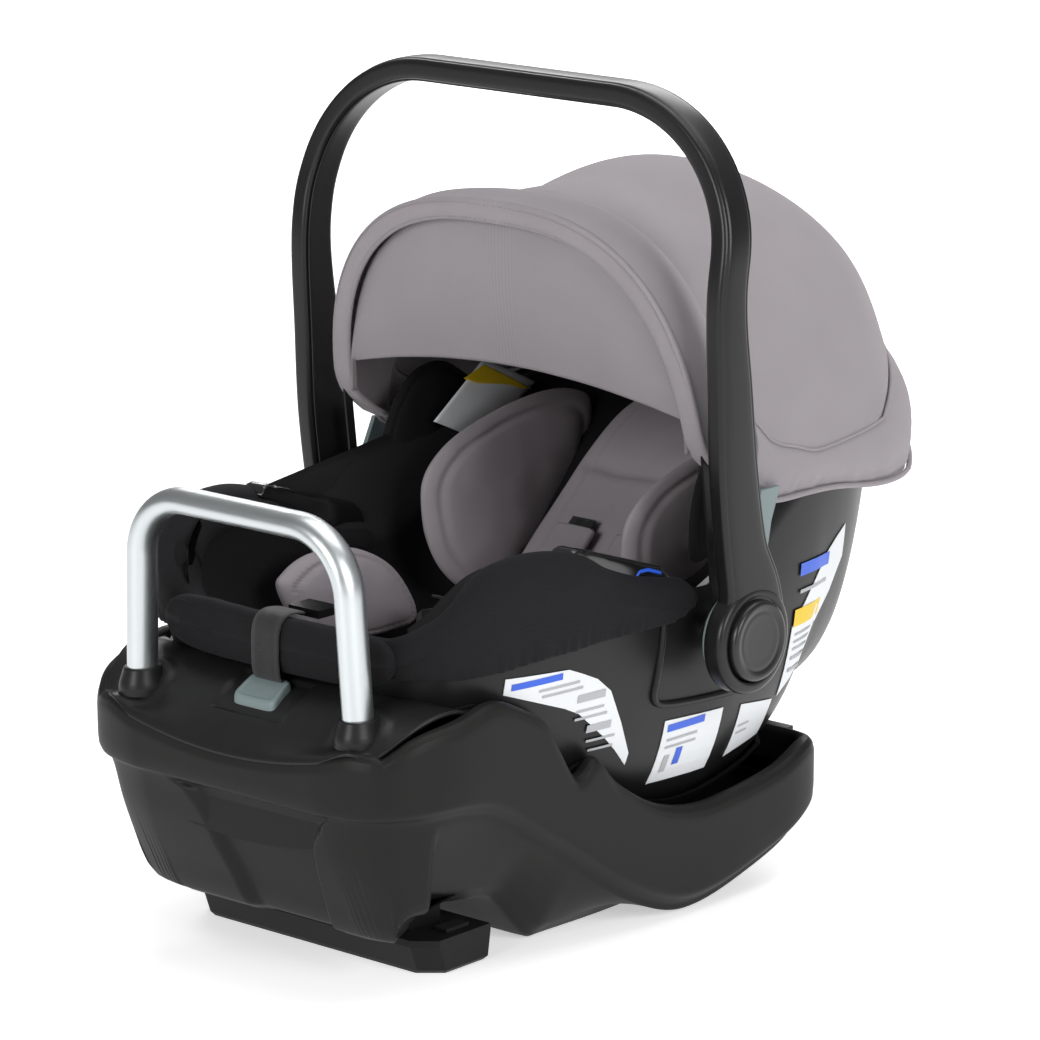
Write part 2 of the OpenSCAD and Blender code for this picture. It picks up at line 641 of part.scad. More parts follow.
base_shell();
base_deck();
base_tray();
grip_pads();
rebound_bar();
rebound_collars();
deck_screws();
recline_foot();
foot_pads();
release_button();
release_spring();
lock_hook();
hook_pin();
hook_spring();
anchor_belt();
anchor_clips();
carrier_shell();
shell_ribs();
foam_liner();
seat_pad();
pad_rim();
foot_roll();
head_wings();
insert_back();
insert_wings();
hip_bolsters();
crotch_strap();
buckle();
buckle_button();
hip_straps();
shoulder_straps();
strap_covers();
chest_clip();
adjuster_strap();
adjuster_button();
splitter_plate();
belt_guides();
belt_marks();
label_plates();
lock_bar();
pivot_pins();
detent_plates();
canopy_dome();
canopy_skirt();
canopy_brackets();
canopy_bow();
canopy_front();
canopy_binding();
visor();
handle_bow();
handle_knuckles();
handle_liner();
hub_button_right();
hub_button_left();
button_springs();
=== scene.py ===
import json
import math
import bmesh
import bpy
from mathutils import Matrix, Vector, noise


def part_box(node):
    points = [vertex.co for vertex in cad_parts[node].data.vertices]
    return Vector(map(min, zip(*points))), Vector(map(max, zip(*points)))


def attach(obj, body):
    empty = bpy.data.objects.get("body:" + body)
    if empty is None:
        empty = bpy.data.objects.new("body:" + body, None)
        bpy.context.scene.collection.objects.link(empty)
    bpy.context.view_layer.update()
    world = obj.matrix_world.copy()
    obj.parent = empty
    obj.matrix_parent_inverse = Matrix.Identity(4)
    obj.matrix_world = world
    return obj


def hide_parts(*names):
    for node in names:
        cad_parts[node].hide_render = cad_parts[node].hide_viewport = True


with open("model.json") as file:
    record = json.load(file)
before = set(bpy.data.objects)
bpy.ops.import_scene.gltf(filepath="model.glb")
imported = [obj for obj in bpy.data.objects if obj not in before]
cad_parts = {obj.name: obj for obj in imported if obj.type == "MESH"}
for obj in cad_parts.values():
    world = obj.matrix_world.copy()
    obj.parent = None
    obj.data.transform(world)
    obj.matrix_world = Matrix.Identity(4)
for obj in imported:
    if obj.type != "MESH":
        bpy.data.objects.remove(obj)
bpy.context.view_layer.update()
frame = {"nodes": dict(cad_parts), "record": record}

mm = 0.001
record = frame["record"]
slotOf = {part["node"]: part["material_slot"] for part in record["subparts"]}


def cadSpan(node):
    low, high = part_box(node)
    return Vector(low) / mm, Vector(high) / mm


pinLow, pinHigh = cadSpan("pivot_pins")
hubY = (pinLow.y + pinHigh.y) / 2  # handle axis, along the seat
hubZ = (pinLow.z + pinHigh.z) / 2  # handle axis, above the floor
print("frame loaded, hub axis at", round(hubY, 1), round(hubZ, 1))


# small maths
def clamp(x, low=0.0, high=1.0):
    return max(low, min(high, x))


def ease(x):
    x = clamp(x)
    return x * x * (3 - 2 * x)


def mix(a, b, t):
    return a + (b - a) * t


def power(x, e):
    return math.copysign(abs(x) ** e, x)


def lineAt(x, stops):
    if x <= stops[0][0]:
        return stops[0][1]
    for (x0, y0), (x1, y1) in zip(stops, stops[1:]):
        if x <= x1:
            return mix(y0, y1, (x - x0) / (x1 - x0))
    return stops[-1][1]


def curveAt(x, stops):  # smooth line through the stops
    last = len(stops) - 1
    if x <= stops[0][0]:
        return stops[0][1]
    if x >= stops[last][0]:
        return stops[last][1]
    i = max(k for k in range(last) if stops[k][0] <= x)

    def slope(k):
        a, b = stops[max(k - 1, 0)], stops[min(k + 1, last)]
        return (b[1] - a[1]) / (b[0] - a[0])
    (x0, y0), (x1, y1) = stops[i], stops[i + 1]
    h = x1 - x0
    u = (x - x0) / h
    return ((2 * u**3 - 3 * u**2 + 1) * y0 + (u**3 - 2 * u**2 + u) * h * slope(i)
            + (3 * u**2 - 2 * u**3) * y1 + (u**3 - u**2) * h * slope(i + 1))


def smoothPath(points, t):  # t from 0 to 1 along given points, as a soft curve
    s = t * (len(points) - 1)
    return [curveAt(s, [(k, p[axis]) for k, p in enumerate(points)]) for axis in range(len(points[0]))]


def ripple(x, y, z, size, seed=0.0):
    return noise.noise(Vector((x / size + seed, y / size - seed, z / size + 2 * seed)))


# mesh helpers
def gridSkin(across, along, place, uvSize=(1, 1), caps=False, outside=None):  # place(u, v) gives millimetres
    bm = bmesh.new()
    uvLayer = bm.loops.layers.uv.new("UVMap")
    bmesh.ops.create_grid(bm, x_segments=across, y_segments=along, size=0.5)
    for face in bm.faces:
        for loop in face.loops:
            loop[uvLayer].uv = ((loop.vert.co.x + 0.5) * uvSize[0], (loop.vert.co.y + 0.5) * uvSize[1])
    for vert in bm.verts:
        vert.co = Vector(place(vert.co.x + 0.5, vert.co.y + 0.5)) * mm
    bmesh.ops.remove_doubles(bm, verts=bm.verts, dist=2e-6)  # the seam closes where the two sides meet
    if caps:
        bmesh.ops.holes_fill(bm, edges=[e for e in bm.edges if e.is_boundary], sides=0)
    bmesh.ops.recalc_face_normals(bm, faces=bm.faces)
    if outside is not None:  # an open skin: its faces look away from this point
        centre = Vector(outside) * mm
        votes = sum((f.calc_center_median() - centre).dot(f.normal) * f.calc_area() for f in bm.faces)
        if votes < 0:
            bmesh.ops.reverse_faces(bm, faces=bm.faces)
    return bm


# closed bar: points(t) is its centre line, section(t, angle) gives two side offsets and the up direction
def tube(points, section, along=60, around=24, uvLength=1.0):
    step = 0.002  # share of the length looked ahead and back to find the direction

    def place(u, v):
        ahead = (Vector(points(min(v + step, 1))) - Vector(points(max(v - step, 0)))).normalized()
        a, b, up = section(v, u * 2 * math.pi)
        side = ahead.cross(Vector(up)).normalized()
        return Vector(points(v)) + side * a + side.cross(ahead).normalized() * b
    return gridSkin(around, along, place, (0.1, uvLength), caps=True)


def makePiece(name, bm, material, body, nodes=(), thick=0, sharp=None):
    mesh = bpy.data.meshes.new(name)
    bm.to_mesh(mesh)
    bm.free()
    for polygon in mesh.polygons:
        polygon.use_smooth = True
    if sharp is not None:
        mesh.set_sharp_from_angle(angle=math.radians(sharp))
    piece = bpy.data.objects.new(name, mesh)
    bpy.context.scene.collection.objects.link(piece)
    mesh.materials.append(material)
    if thick:
        wall = piece.modifiers.new("wall", "SOLIDIFY")
        wall.thickness = thick * mm
        wall.offset = -1  # the wall grows inwards
        wall.use_rim = True
    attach(piece, body)
    if nodes:
        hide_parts(*nodes)
    return piece


def meshArea(piece):
    return sum(p.area for p in piece.data.polygons)


def joinInto(bm, other):
    mesh = bpy.data.meshes.new("part")
    other.to_mesh(mesh)
    other.free()
    bm.from_mesh(mesh)
    bpy.data.meshes.remove(mesh)
    return bm


def bothSides(bm):  # adds the mirror image across the seat's middle plane
    copy = bm.copy()
    bmesh.ops.scale(copy, vec=(-1, 1, 1), verts=copy.verts)
    bmesh.ops.reverse_faces(copy, faces=copy.faces)
    return joinInto(bm, copy)


def thread(route, radius=0.7, around=6, along=120):  # thin cord or piping, route(t) in millimetres
    up = (0.13, 0.21, 0.97)  # never in line with a route

    def section(t, angle):
        return radius * math.cos(angle), radius * math.sin(angle), up
    return tube(route, section, along, around)


def stitches(route, count, length, radius=0.45, start=0.0, end=1.0):  # short raised dashes along a route
    bm = bmesh.new()
    for k in range(count):
        t = mix(start, end, (k + 0.5) / count)
        a, b = Vector(route(t)), Vector(route(clamp(t + 0.001)))
        ahead = (b - a).normalized() if (b - a).length > 1e-9 else Vector((1, 0, 0))
        turn = ahead.to_track_quat("Z", "Y").to_matrix().to_4x4()
        size = Matrix.Diagonal((radius * mm, radius * mm, length / 2 * mm, 1))
        bmesh.ops.create_icosphere(bm, subdivisions=1, radius=1,
                                   matrix=Matrix.Translation(a * mm) @ turn @ size)
    return bm


# shader groups
def addNode(tree, kind, **settings):
    node = tree.nodes.new(kind)
    for key, value in settings.items():
        if key.startswith("in_"):
            node.inputs[key[3:].replace("_", " ")].default_value = value
        else:
            setattr(node, key, value)
    return node


def maths(tree, operation, a, b=None, c=None):
    node = tree.nodes.new("ShaderNodeMath")
    node.operation = operation
    for k, value in enumerate((a, b, c)):
        if value is None:
            continue
        if isinstance(value, (int, float)):
            node.inputs[k].default_value = value
        else:
            tree.links.new(value, node.inputs[k])
    return node.outputs[0]


def newGroup(name, inputs, outputs):
    tree = bpy.data.node_groups.new(name, "ShaderNodeTree")
    for label, kind, value in inputs:
        socket = tree.interface.new_socket(name=label, in_out="INPUT", socket_type=kind)
        if value is not None:
            socket.default_value = value
    for label in outputs:
        tree.interface.new_socket(name=label, in_out="OUTPUT", socket_type="NodeSocketFloat")
    return tree, tree.nodes.new("NodeGroupInput"), tree.nodes.new("NodeGroupOutput")


def buildGrain():  # fine moulded texture: Height for bump, Drift for slow changes of tone
    tree, given, result = newGroup("mouldedGrain", [("Size", "NodeSocketFloat", 1.0)], ["Height", "Drift"])
    where = addNode(tree, "ShaderNodeTexCoord")
    pebble = addNode(tree, "ShaderNodeTexVoronoi", feature="SMOOTH_F1", in_Smoothness=0.6)
    cloud = addNode(tree, "ShaderNodeTexNoise", in_Detail=3.0, in_Roughness=0.6)
    slow = addNode(tree, "ShaderNodeTexNoise", in_Scale=9.0, in_Detail=2.0)
    for node in (pebble, cloud, slow):
        tree.links.new(where.outputs["Object"], node.inputs["Vector"])
    tree.links.new(maths(tree, "DIVIDE", 900.0, given.outputs["Size"]), pebble.inputs["Scale"])
    tree.links.new(maths(tree, "DIVIDE", 420.0, given.outputs["Size"]), cloud.inputs["Scale"])
    height = maths(tree, "MULTIPLY_ADD", pebble.outputs["Distance"], 0.7,
                   maths(tree, "MULTIPLY", cloud.outputs["Fac"], 0.5))
    tree.links.new(height, result.inputs["Height"])
    tree.links.new(slow.outputs["Fac"], result.inputs["Drift"])
    return tree


def buildKnit():  # rows of small V stitches on the UV map, which is in metres
    tree, given, result = newGroup("knitStitch", [("Vector", "NodeSocketVector", None),
                                                  ("Pitch", "NodeSocketFloat", 0.0012)], ["Height", "Gap"])
    parts = addNode(tree, "ShaderNodeSeparateXYZ")
    tree.links.new(given.outputs["Vector"], parts.inputs[0])
    column = maths(tree, "DIVIDE", parts.outputs["X"], given.outputs["Pitch"])
    row = maths(tree, "DIVIDE", parts.outputs["Y"], given.outputs["Pitch"])
    fold = maths(tree, "ABSOLUTE", maths(tree, "SUBTRACT", maths(tree, "FRACT", column), 0.5))
    slant = maths(tree, "MULTIPLY_ADD", fold, 1.1, row)
    across = maths(tree, "ABSOLUTE", maths(tree, "SINE", maths(tree, "MULTIPLY", column, math.pi)))
    along = maths(tree, "ABSOLUTE", maths(tree, "SINE", maths(tree, "MULTIPLY", slant, math.pi)))
    height = maths(tree, "MULTIPLY", maths(tree, "POWER", across, 0.5), maths(tree, "POWER", along, 0.6))
    tree.links.new(height, result.inputs["Height"])
    tree.links.new(maths(tree, "SUBTRACT", 1.0, height), result.inputs["Gap"])
    return tree


def buildTwist():  # woven webbing: diagonal ribs along a strap's UV
    tree, given, result = newGroup("webbingRib", [("Vector", "NodeSocketVector", None),
                                                  ("Pitch", "NodeSocketFloat", 0.0016)], ["Height"])
    parts = addNode(tree, "ShaderNodeSeparateXYZ")
    tree.links.new(given.outputs["Vector"], parts.inputs[0])
    column = maths(tree, "DIVIDE", parts.outputs["X"], given.outputs["Pitch"])
    row = maths(tree, "DIVIDE", parts.outputs["Y"], given.outputs["Pitch"])
    share = maths(tree, "FRACT", maths(tree, "MULTIPLY", column, 0.25))
    fold = maths(tree, "ABSOLUTE", maths(tree, "SUBTRACT", share, 0.5))
    slant = maths(tree, "MULTIPLY_ADD", fold, 4.0, row)
    tree.links.new(maths(tree, "ABSOLUTE", maths(tree, "SINE", maths(tree, "MULTIPLY", slant, math.pi))),
                   result.inputs["Height"])
    return tree


def buildMottle():  # soft cloudy changes of tone in cloth, at two sizes
    tree, given, result = newGroup("clothMottle", [("Size", "NodeSocketFloat", 0.05)], ["Tone", "Fuzz"])
    where = addNode(tree, "ShaderNodeTexCoord")
    large = addNode(tree, "ShaderNodeTexNoise", in_Detail=2.0, in_Roughness=0.5)
    small = addNode(tree, "ShaderNodeTexNoise", in_Scale=900.0, in_Detail=4.0, in_Roughness=0.7)
    for node in (large, small):
        tree.links.new(where.outputs["Object"], node.inputs["Vector"])
    tree.links.new(maths(tree, "DIVIDE", 1.0, given.outputs["Size"]), large.inputs["Scale"])
    tree.links.new(large.outputs["Fac"], result.inputs["Tone"])
    tree.links.new(small.outputs["Fac"], result.inputs["Fuzz"])
    return tree


def buildDust():  # thin dust on faces that look up
    tree, given, result = newGroup("settledDust", [("Amount", "NodeSocketFloat", 0.15)], ["Mask"])
    where = addNode(tree, "ShaderNodeTexCoord")
    parts = addNode(tree, "ShaderNodeSeparateXYZ")
    cloud = addNode(tree, "ShaderNodeTexNoise", in_Scale=60.0, in_Detail=5.0, in_Roughness=0.7)
    tree.links.new(where.outputs["Normal"], parts.inputs[0])
    tree.links.new(where.outputs["Object"], cloud.inputs["Vector"])
    up = maths(tree, "MULTIPLY", maths(tree, "MAXIMUM", parts.outputs["Z"], 0.0), cloud.outputs["Fac"])
    tree.links.new(maths(tree, "MULTIPLY", up, given.outputs["Amount"]), result.inputs["Mask"])
    return tree


groups = {"grain": buildGrain(), "knit": buildKnit(), "webbing": buildTwist(), "mottle": buildMottle(),
          "dust": buildDust()}
print("shader groups built")


def useGroup(tree, key, **values):
    node = tree.nodes.new("ShaderNodeGroup")
    node.node_tree = groups[key]
    for label, value in values.items():
        node.inputs[label].default_value = value
    return node


def newMaterial(name):
    material = bpy.data.materials.new(name)
    material.use_nodes = True
    tree = material.node_tree
    return material, tree, tree.nodes["Principled BSDF"]


mixDark, mixLight, mixOut = 6, 7, 2  # the two colour inputs and the colour output of a Mix node
dustColour = (0.12, 0.115, 0.11, 1)
gapShade = (0.45, 0.45, 0.45, 1)  # how dark the gaps between the stitches get


def tones(tree, factor, dark, light):
    ramp = addNode(tree, "ShaderNodeMix", data_type="RGBA")
    tree.links.new(factor, ramp.inputs["Factor"])
    ramp.inputs[mixDark].default_value = (*dark, 1)
    ramp.inputs[mixLight].default_value = (*light, 1)
    return ramp.outputs[mixOut]


def bumpFrom(tree, shader, height, strength, depth, before=None):
    bump = addNode(tree, "ShaderNodeBump", in_Strength=strength, in_Distance=depth)
    tree.links.new(height, bump.inputs["Height"])
    if before is not None:
        tree.links.new(before, bump.inputs["Normal"])
    tree.links.new(bump.outputs["Normal"], shader.inputs["Normal"])
    return bump.outputs["Normal"]


def plastic(name, colour, rough=0.5, grain=1.0, depth=0.00006, shine=0.5, spread=0.12, dust=0.1, coat=0.0):
    material, tree, shader = newMaterial(name)
    shader.inputs["Specular IOR Level"].default_value = shine
    shader.inputs["Coat Weight"].default_value = coat
    shader.inputs["Coat Roughness"].default_value = 0.12
    texture = useGroup(tree, "grain", Size=grain)
    powder = useGroup(tree, "dust", Amount=dust)
    body = tones(tree, texture.outputs["Drift"], [c * (1 - spread) for c in colour],
                 [c * (1 + spread) for c in colour])
    over = addNode(tree, "ShaderNodeMix", data_type="RGBA")
    tree.links.new(powder.outputs["Mask"], over.inputs["Factor"])
    tree.links.new(body, over.inputs[mixDark])
    over.inputs[mixLight].default_value = dustColour
    tree.links.new(over.outputs[mixOut], shader.inputs["Base Color"])
    tree.links.new(maths(tree, "MULTIPLY_ADD", texture.outputs["Drift"], 0.16, rough - 0.08),
                   shader.inputs["Roughness"])
    bumpFrom(tree, shader, texture.outputs["Height"], 0.5, depth)
    return material


def cloth(name, colour, pitch=0.0012, rough=0.85, sheen=0.3, spread=0.06, depth=0.0003, wrinkle=0.0006,
          tint=None):
    material, tree, shader = newMaterial(name)
    shader.inputs["Sheen Weight"].default_value = sheen
    shader.inputs["Sheen Roughness"].default_value = 0.45
    shader.inputs["Sheen Tint"].default_value = (*(tint or [min(1, c * 2.2) for c in colour]), 1)
    shader.inputs["Specular IOR Level"].default_value = 0.25
    uv = addNode(tree, "ShaderNodeTexCoord")
    stitch = useGroup(tree, "knit", Pitch=pitch)
    tree.links.new(uv.outputs["UV"], stitch.inputs["Vector"])
    mottle = useGroup(tree, "mottle")
    body = tones(tree, mottle.outputs["Tone"], [c * (1 - spread) for c in colour],
                 [c * (1 + spread) for c in colour])
    shade = addNode(tree, "ShaderNodeMix", data_type="RGBA", blend_type="MULTIPLY")
    tree.links.new(maths(tree, "MULTIPLY", stitch.outputs["Gap"], 0.35), shade.inputs["Factor"])
    tree.links.new(body, shade.inputs[mixDark])
    shade.inputs[mixLight].default_value = gapShade
    tree.links.new(shade.outputs[mixOut], shader.inputs["Base Color"])
    tree.links.new(maths(tree, "MULTIPLY_ADD", mottle.outputs["Fuzz"], 0.14, rough - 0.07),
                   shader.inputs["Roughness"])
    soft = bumpFrom(tree, shader, mottle.outputs["Tone"], 0.6, wrinkle)
    fuzz = bumpFrom(tree, shader, mottle.outputs["Fuzz"], 0.35, depth * 0.5, soft)
    bumpFrom(tree, shader, stitch.outputs["Height"], 0.5, depth, fuzz)
    return material


def webbing(name, colour):
    material, tree, shader = newMaterial(name)
    shader.inputs["Sheen Weight"].default_value = 0.15
    shader.inputs["Specular IOR Level"].default_value = 0.4
    uv = addNode(tree, "ShaderNodeTexCoord")
    rib = useGroup(tree, "webbing")
    tree.links.new(uv.outputs["UV"], rib.inputs["Vector"])
    tree.links.new(tones(tree, rib.outputs["Height"], [c * 0.6 for c in colour], [c * 1.25 for c in colour]),
                   shader.inputs["Base Color"])
    tree.links.new(maths(tree, "MULTIPLY_ADD", rib.outputs["Height"], -0.1, 0.62), shader.inputs["Roughness"])
    bumpFrom(tree, shader, rib.outputs["Height"], 0.7, 0.0003)
    return material


def metal(name, colour, rough, fine=0.00002, brushed=(1, 1, 1)):
    material, tree, shader = newMaterial(name)
    shader.inputs["Metallic"].default_value = 1.0
    where = addNode(tree, "ShaderNodeTexCoord")
    stretch = addNode(tree, "ShaderNodeMapping")
    stretch.inputs["Scale"].default_value = brushed
    streak = addNode(tree, "ShaderNodeTexNoise", in_Scale=260.0, in_Detail=4.0, in_Roughness=0.65)
    slow = addNode(tree, "ShaderNodeTexNoise", in_Scale=7.0, in_Detail=1.0)
    tree.links.new(where.outputs["Object"], stretch.inputs["Vector"])
    tree.links.new(stretch.outputs["Vector"], streak.inputs["Vector"])
    tree.links.new(where.outputs["Object"], slow.inputs["Vector"])
    body = tones(tree, slow.outputs["Fac"], [c * 0.93 for c in colour], [min(1, c * 1.05) for c in colour])
    tree.links.new(body, shader.inputs["Base Color"])
    tree.links.new(maths(tree, "MULTIPLY_ADD", streak.outputs["Fac"], 0.16, rough - 0.08),
                   shader.inputs["Roughness"])
    bumpFrom(tree, shader, streak.outputs["Fac"], 0.3, fine)
    return material


finishes = {
    "base": plastic("basePlastic", (0.011, 0.0107, 0.0105), rough=0.48, grain=1.1, depth=0.00008, shine=0.16),
    "deck": plastic("deckPlastic", (0.009, 0.0088, 0.0088), rough=0.38, grain=0.8, depth=0.00006, shine=0.28),
    "shell": plastic("shellPlastic", (0.009, 0.0088, 0.009), rough=0.36, grain=0.8, depth=0.00005,
                     shine=0.25),
    "handle": plastic("handlePlastic", (0.007, 0.0068, 0.007), rough=0.32, grain=0.7, depth=0.00004,
                      shine=0.35),
    "hub": plastic("hubPlastic", (0.008, 0.0078, 0.008), rough=0.3, grain=0.6, depth=0.00003),
    "gloss": plastic("glossPlastic", (0.006, 0.006, 0.0065), rough=0.2, grain=1.5, depth=0.00002, coat=0.5),
    "slate": plastic("slatePlastic", (0.185, 0.235, 0.24), rough=0.45, grain=0.9, depth=0.00005, dust=0.0),
    "red": plastic("redPlastic", (0.5, 0.02, 0.02), rough=0.35, grain=0.8, depth=0.00003, dust=0.0),
    "blue": plastic("blueMark", (0.02, 0.1, 0.62), rough=0.4, grain=0.8, depth=0.00002, dust=0.0),
    "rubber": plastic("padRubber", (0.012, 0.012, 0.012), rough=0.8, grain=1.4, depth=0.0002, shine=0.3),
    "ink": plastic("labelInk", (0.4, 0.41, 0.43), rough=0.6, grain=0.8, depth=0.00001, dust=0.0),
    "paper": plastic("labelPaper", (0.72, 0.74, 0.76), rough=0.45, grain=0.8, depth=0.00001, dust=0.0),
    "yellow": plastic("labelYellow", (0.75, 0.52, 0.01), rough=0.5, grain=0.8, depth=0.00001, dust=0.0),
    "foam": plastic("beadFoam", (0.75, 0.75, 0.74), rough=0.8, grain=5.0, depth=0.0006, dust=0.0),
    "knit": cloth("mauveKnit", (0.315, 0.29, 0.308), pitch=0.0009, sheen=0.22, depth=0.00018),
    "insert": cloth("mauveInsert", (0.38, 0.345, 0.37), pitch=0.0011, sheen=0.28, depth=0.00025,
                    wrinkle=0.001),
    "edging": cloth("mauveEdging", (0.325, 0.298, 0.316), pitch=0.001, sheen=0.3, depth=0.00025,
                    wrinkle=0.0016),
    "black": cloth("blackKnit", (0.0065, 0.0063, 0.0075), pitch=0.0011, sheen=0.06, spread=0.15,
                   wrinkle=0.0012, tint=(0.3, 0.3, 0.36)),
    "smooth": cloth("blackLining", (0.006, 0.0058, 0.0065), pitch=0.0014, rough=0.7, sheen=0.05, spread=0.1,
                    tint=(0.25, 0.25, 0.3)),
    "webbing": webbing("blackWebbing", (0.011, 0.011, 0.0115)),
    "aluminium": metal("satinAluminium", (0.62, 0.655, 0.665), 0.36, brushed=(0.25, 1, 1)),
    "steel": metal("zincSteel", (0.52, 0.53, 0.55), 0.38),
}
cadFinish = {  # how each record slot looks on the CAD pieces that stay in view
    "base_plastic": "base", "satin_black_plastic": "deck", "shell_plastic": "shell",
    "handle_plastic": "handle", "hub_plastic": "hub", "gloss_black_plastic": "gloss",
    "slate_plastic": "slate", "red_plastic": "red",
    "blue_mark": "blue", "satin_aluminium": "aluminium", "zinc_steel": "steel", "rubber": "rubber",
    "white_foam": "foam", "webbing": "webbing", "black_fabric": "black", "mauve_knit": "knit",
    "mauve_insert": "insert", "label_paper": "paper"}
for nodeName, cadPiece in frame["nodes"].items():
    cadPiece.data.materials.clear()
    cadPiece.data.materials.append(finishes[cadFinish[slotOf[nodeName]]])
frame["nodes"]["adjuster_button"].data.materials[0] = finishes["gloss"]  # it shows black above the roll
print("materials made:", len(finishes))

# shared outlines, millimetres along the seat and up from the floor
tub = {
    "half": [(-284, 98), (-277, 124), (-258, 148), (-200, 163), (-100, 168), (0, 170), (100, 168), (180, 154),
             (240, 126), (270, 102), (290, 78), (306, 50)],
    "low": [(-284, 222), (-276, 190), (-256, 150), (-200, 98), (-100, 55), (0, 43), (60, 46), (100, 56),
            (126, 74), (143, 104), (170, 108), (200, 116), (240, 180), (276, 276), (306, 368)],
    "rim": [(-284, 242), (-274, 258), (-256, 281), (-232, 297), (-190, 300), (-150, 292), (-120, 276),
            (-80, 262), (-10, 252), (20, 262), (60, 300), (100, 326), (180, 348), (260, 372), (306, 388)],
    "seat": [(-284, 238), (-245, 222), (-200, 192), (-130, 150), (-70, 124), (-35, 120), (0, 142), (40, 188),
             (65, 216), (107, 258), (149, 298), (200, 336), (260, 370), (306, 387)],
    "hem": [(-284, 226), (-240, 232), (-160, 236), (-60, 234), (-40, 238), (-20, 244)],
    "ends": (-284, 306), "rounding": 0.04, "bulge": (3, 2), "wall": 3}


def tubSide(y, z, inset=0):  # half width of the tub at a height
    low, rim = curveAt(y, tub["low"]), curveAt(y, tub["rim"])
    return (curveAt(y, tub["half"]) - inset) * (1 - clamp((rim - z) / (rim - low)) ** 3) ** (1 / 3)


def tubPoint(y, turn, inset=0, low=None, shrink=1.0):  # turn from -1 to 1 across the tub
    rim = curveAt(y, tub["rim"])
    low = curveAt(y, tub["low"]) if low is None else low
    a = turn * math.pi / 2
    half = (curveAt(y, tub["half"]) - inset) * shrink
    return (half * power(math.sin(a), 2 / 3), y, rim - (rim - low) * shrink * abs(math.cos(a)) ** (2 / 3))


def spreadTurn(u):  # even spacing of points round the tub's section
    s = 2 * u - 1
    return math.copysign(0.5 * abs(s) ** 1.25 + 0.5 * (1 - (1 - abs(s)) ** 1.25), s)


# carrier shell
def carrierShell():
    foot, head = tub["ends"]
    share = tub["rounding"]  # share of the length that each rounded end takes
    least = 0.02  # the ends close to almost a point

    def place(u, v):
        k = min(v, 1 - v) / share
        if k < 1:
            y = foot - tub["bulge"][0] * (1 - k) if v < 0.5 else head + tub["bulge"][1] * (1 - k)
            return tubPoint(y, spreadTurn(u), shrink=least + (1 - least) * math.sin(k * math.pi / 2))
        return tubPoint(mix(foot, head, (v - share) / (1 - 2 * share)), spreadTurn(u))
    bm = gridSkin(64, 100, place, outside=(0, 0, 230))
    return makePiece("carrierShell", bm, finishes["shell"], "carrier", ["carrier_shell"], thick=tub["wall"])


carrierShell()
print("carrier shell done")


# outlines in plan, for the parts that run round the foot end
class Outline:  # half width against y, walked from the head side round the foot end
    def __init__(self, halfAt, yFrom, yTo, fine=2.0, closed=False):
        first = halfAt(yFrom)
        right = [(first * k / 40, yFrom) for k in range(40)] if closed else []
        steps = int((yFrom - yTo) / fine)
        for k in range(steps + 1):
            y = mix(yFrom, yTo, k / steps)
            right.append((halfAt(y), y))
        end = right[-1][0]
        count = max(2, int(end / fine))
        right += [(end * (1 - k / count), yTo) for k in range(1, count + 1)]
        for _ in range(10):  # soften the corner
            right = [right[0]] + [((a[0] + 2 * b[0] + c[0]) / 4, (a[1] + 2 * b[1] + c[1]) / 4)
                                  for a, b, c in zip(right, right[1:], right[2:])] + [(0, right[-2][1])]
        self.points = right + [(-x, y) for x, y in reversed(right[:-1])]
        self.walked = [0.0]
        for a, b in zip(self.points, self.points[1:]):
            self.walked.append(self.walked[-1] + math.dist(a, b))
        self.length = self.walked[-1]

    def at(self, s):  # point and outward direction at a share of the way round
        want = clamp(s) * self.length
        low, high = 0, len(self.walked) - 1
        while high - low > 1:
            middle = (low + high) // 2
            if self.walked[middle] <= want:
                low = middle
            else:
                high = middle
        t = (want - self.walked[low]) / max(1e-9, self.walked[high] - self.walked[low])
        a, b = self.points[low], self.points[high]
        c, d = self.points[max(low - 2, 0)], self.points[min(high + 2, len(self.points) - 1)]
        direction = Vector((d[0] - c[0], d[1] - c[1])).normalized()
        return mix(a[0], b[0], t), mix(a[1], b[1], t), -direction.y, direction.x


def alongLine(points, t):
    spans = [math.dist(a, b) for a, b in zip(points, points[1:])]
    want = clamp(t) * sum(spans)
    for (a, b), span in zip(zip(points, points[1:]), spans):
        if want <= span:
            return [mix(p, q, want / max(span, 1e-9)) for p, q in zip(a, b)]
        want -= span
    return list(points[-1])


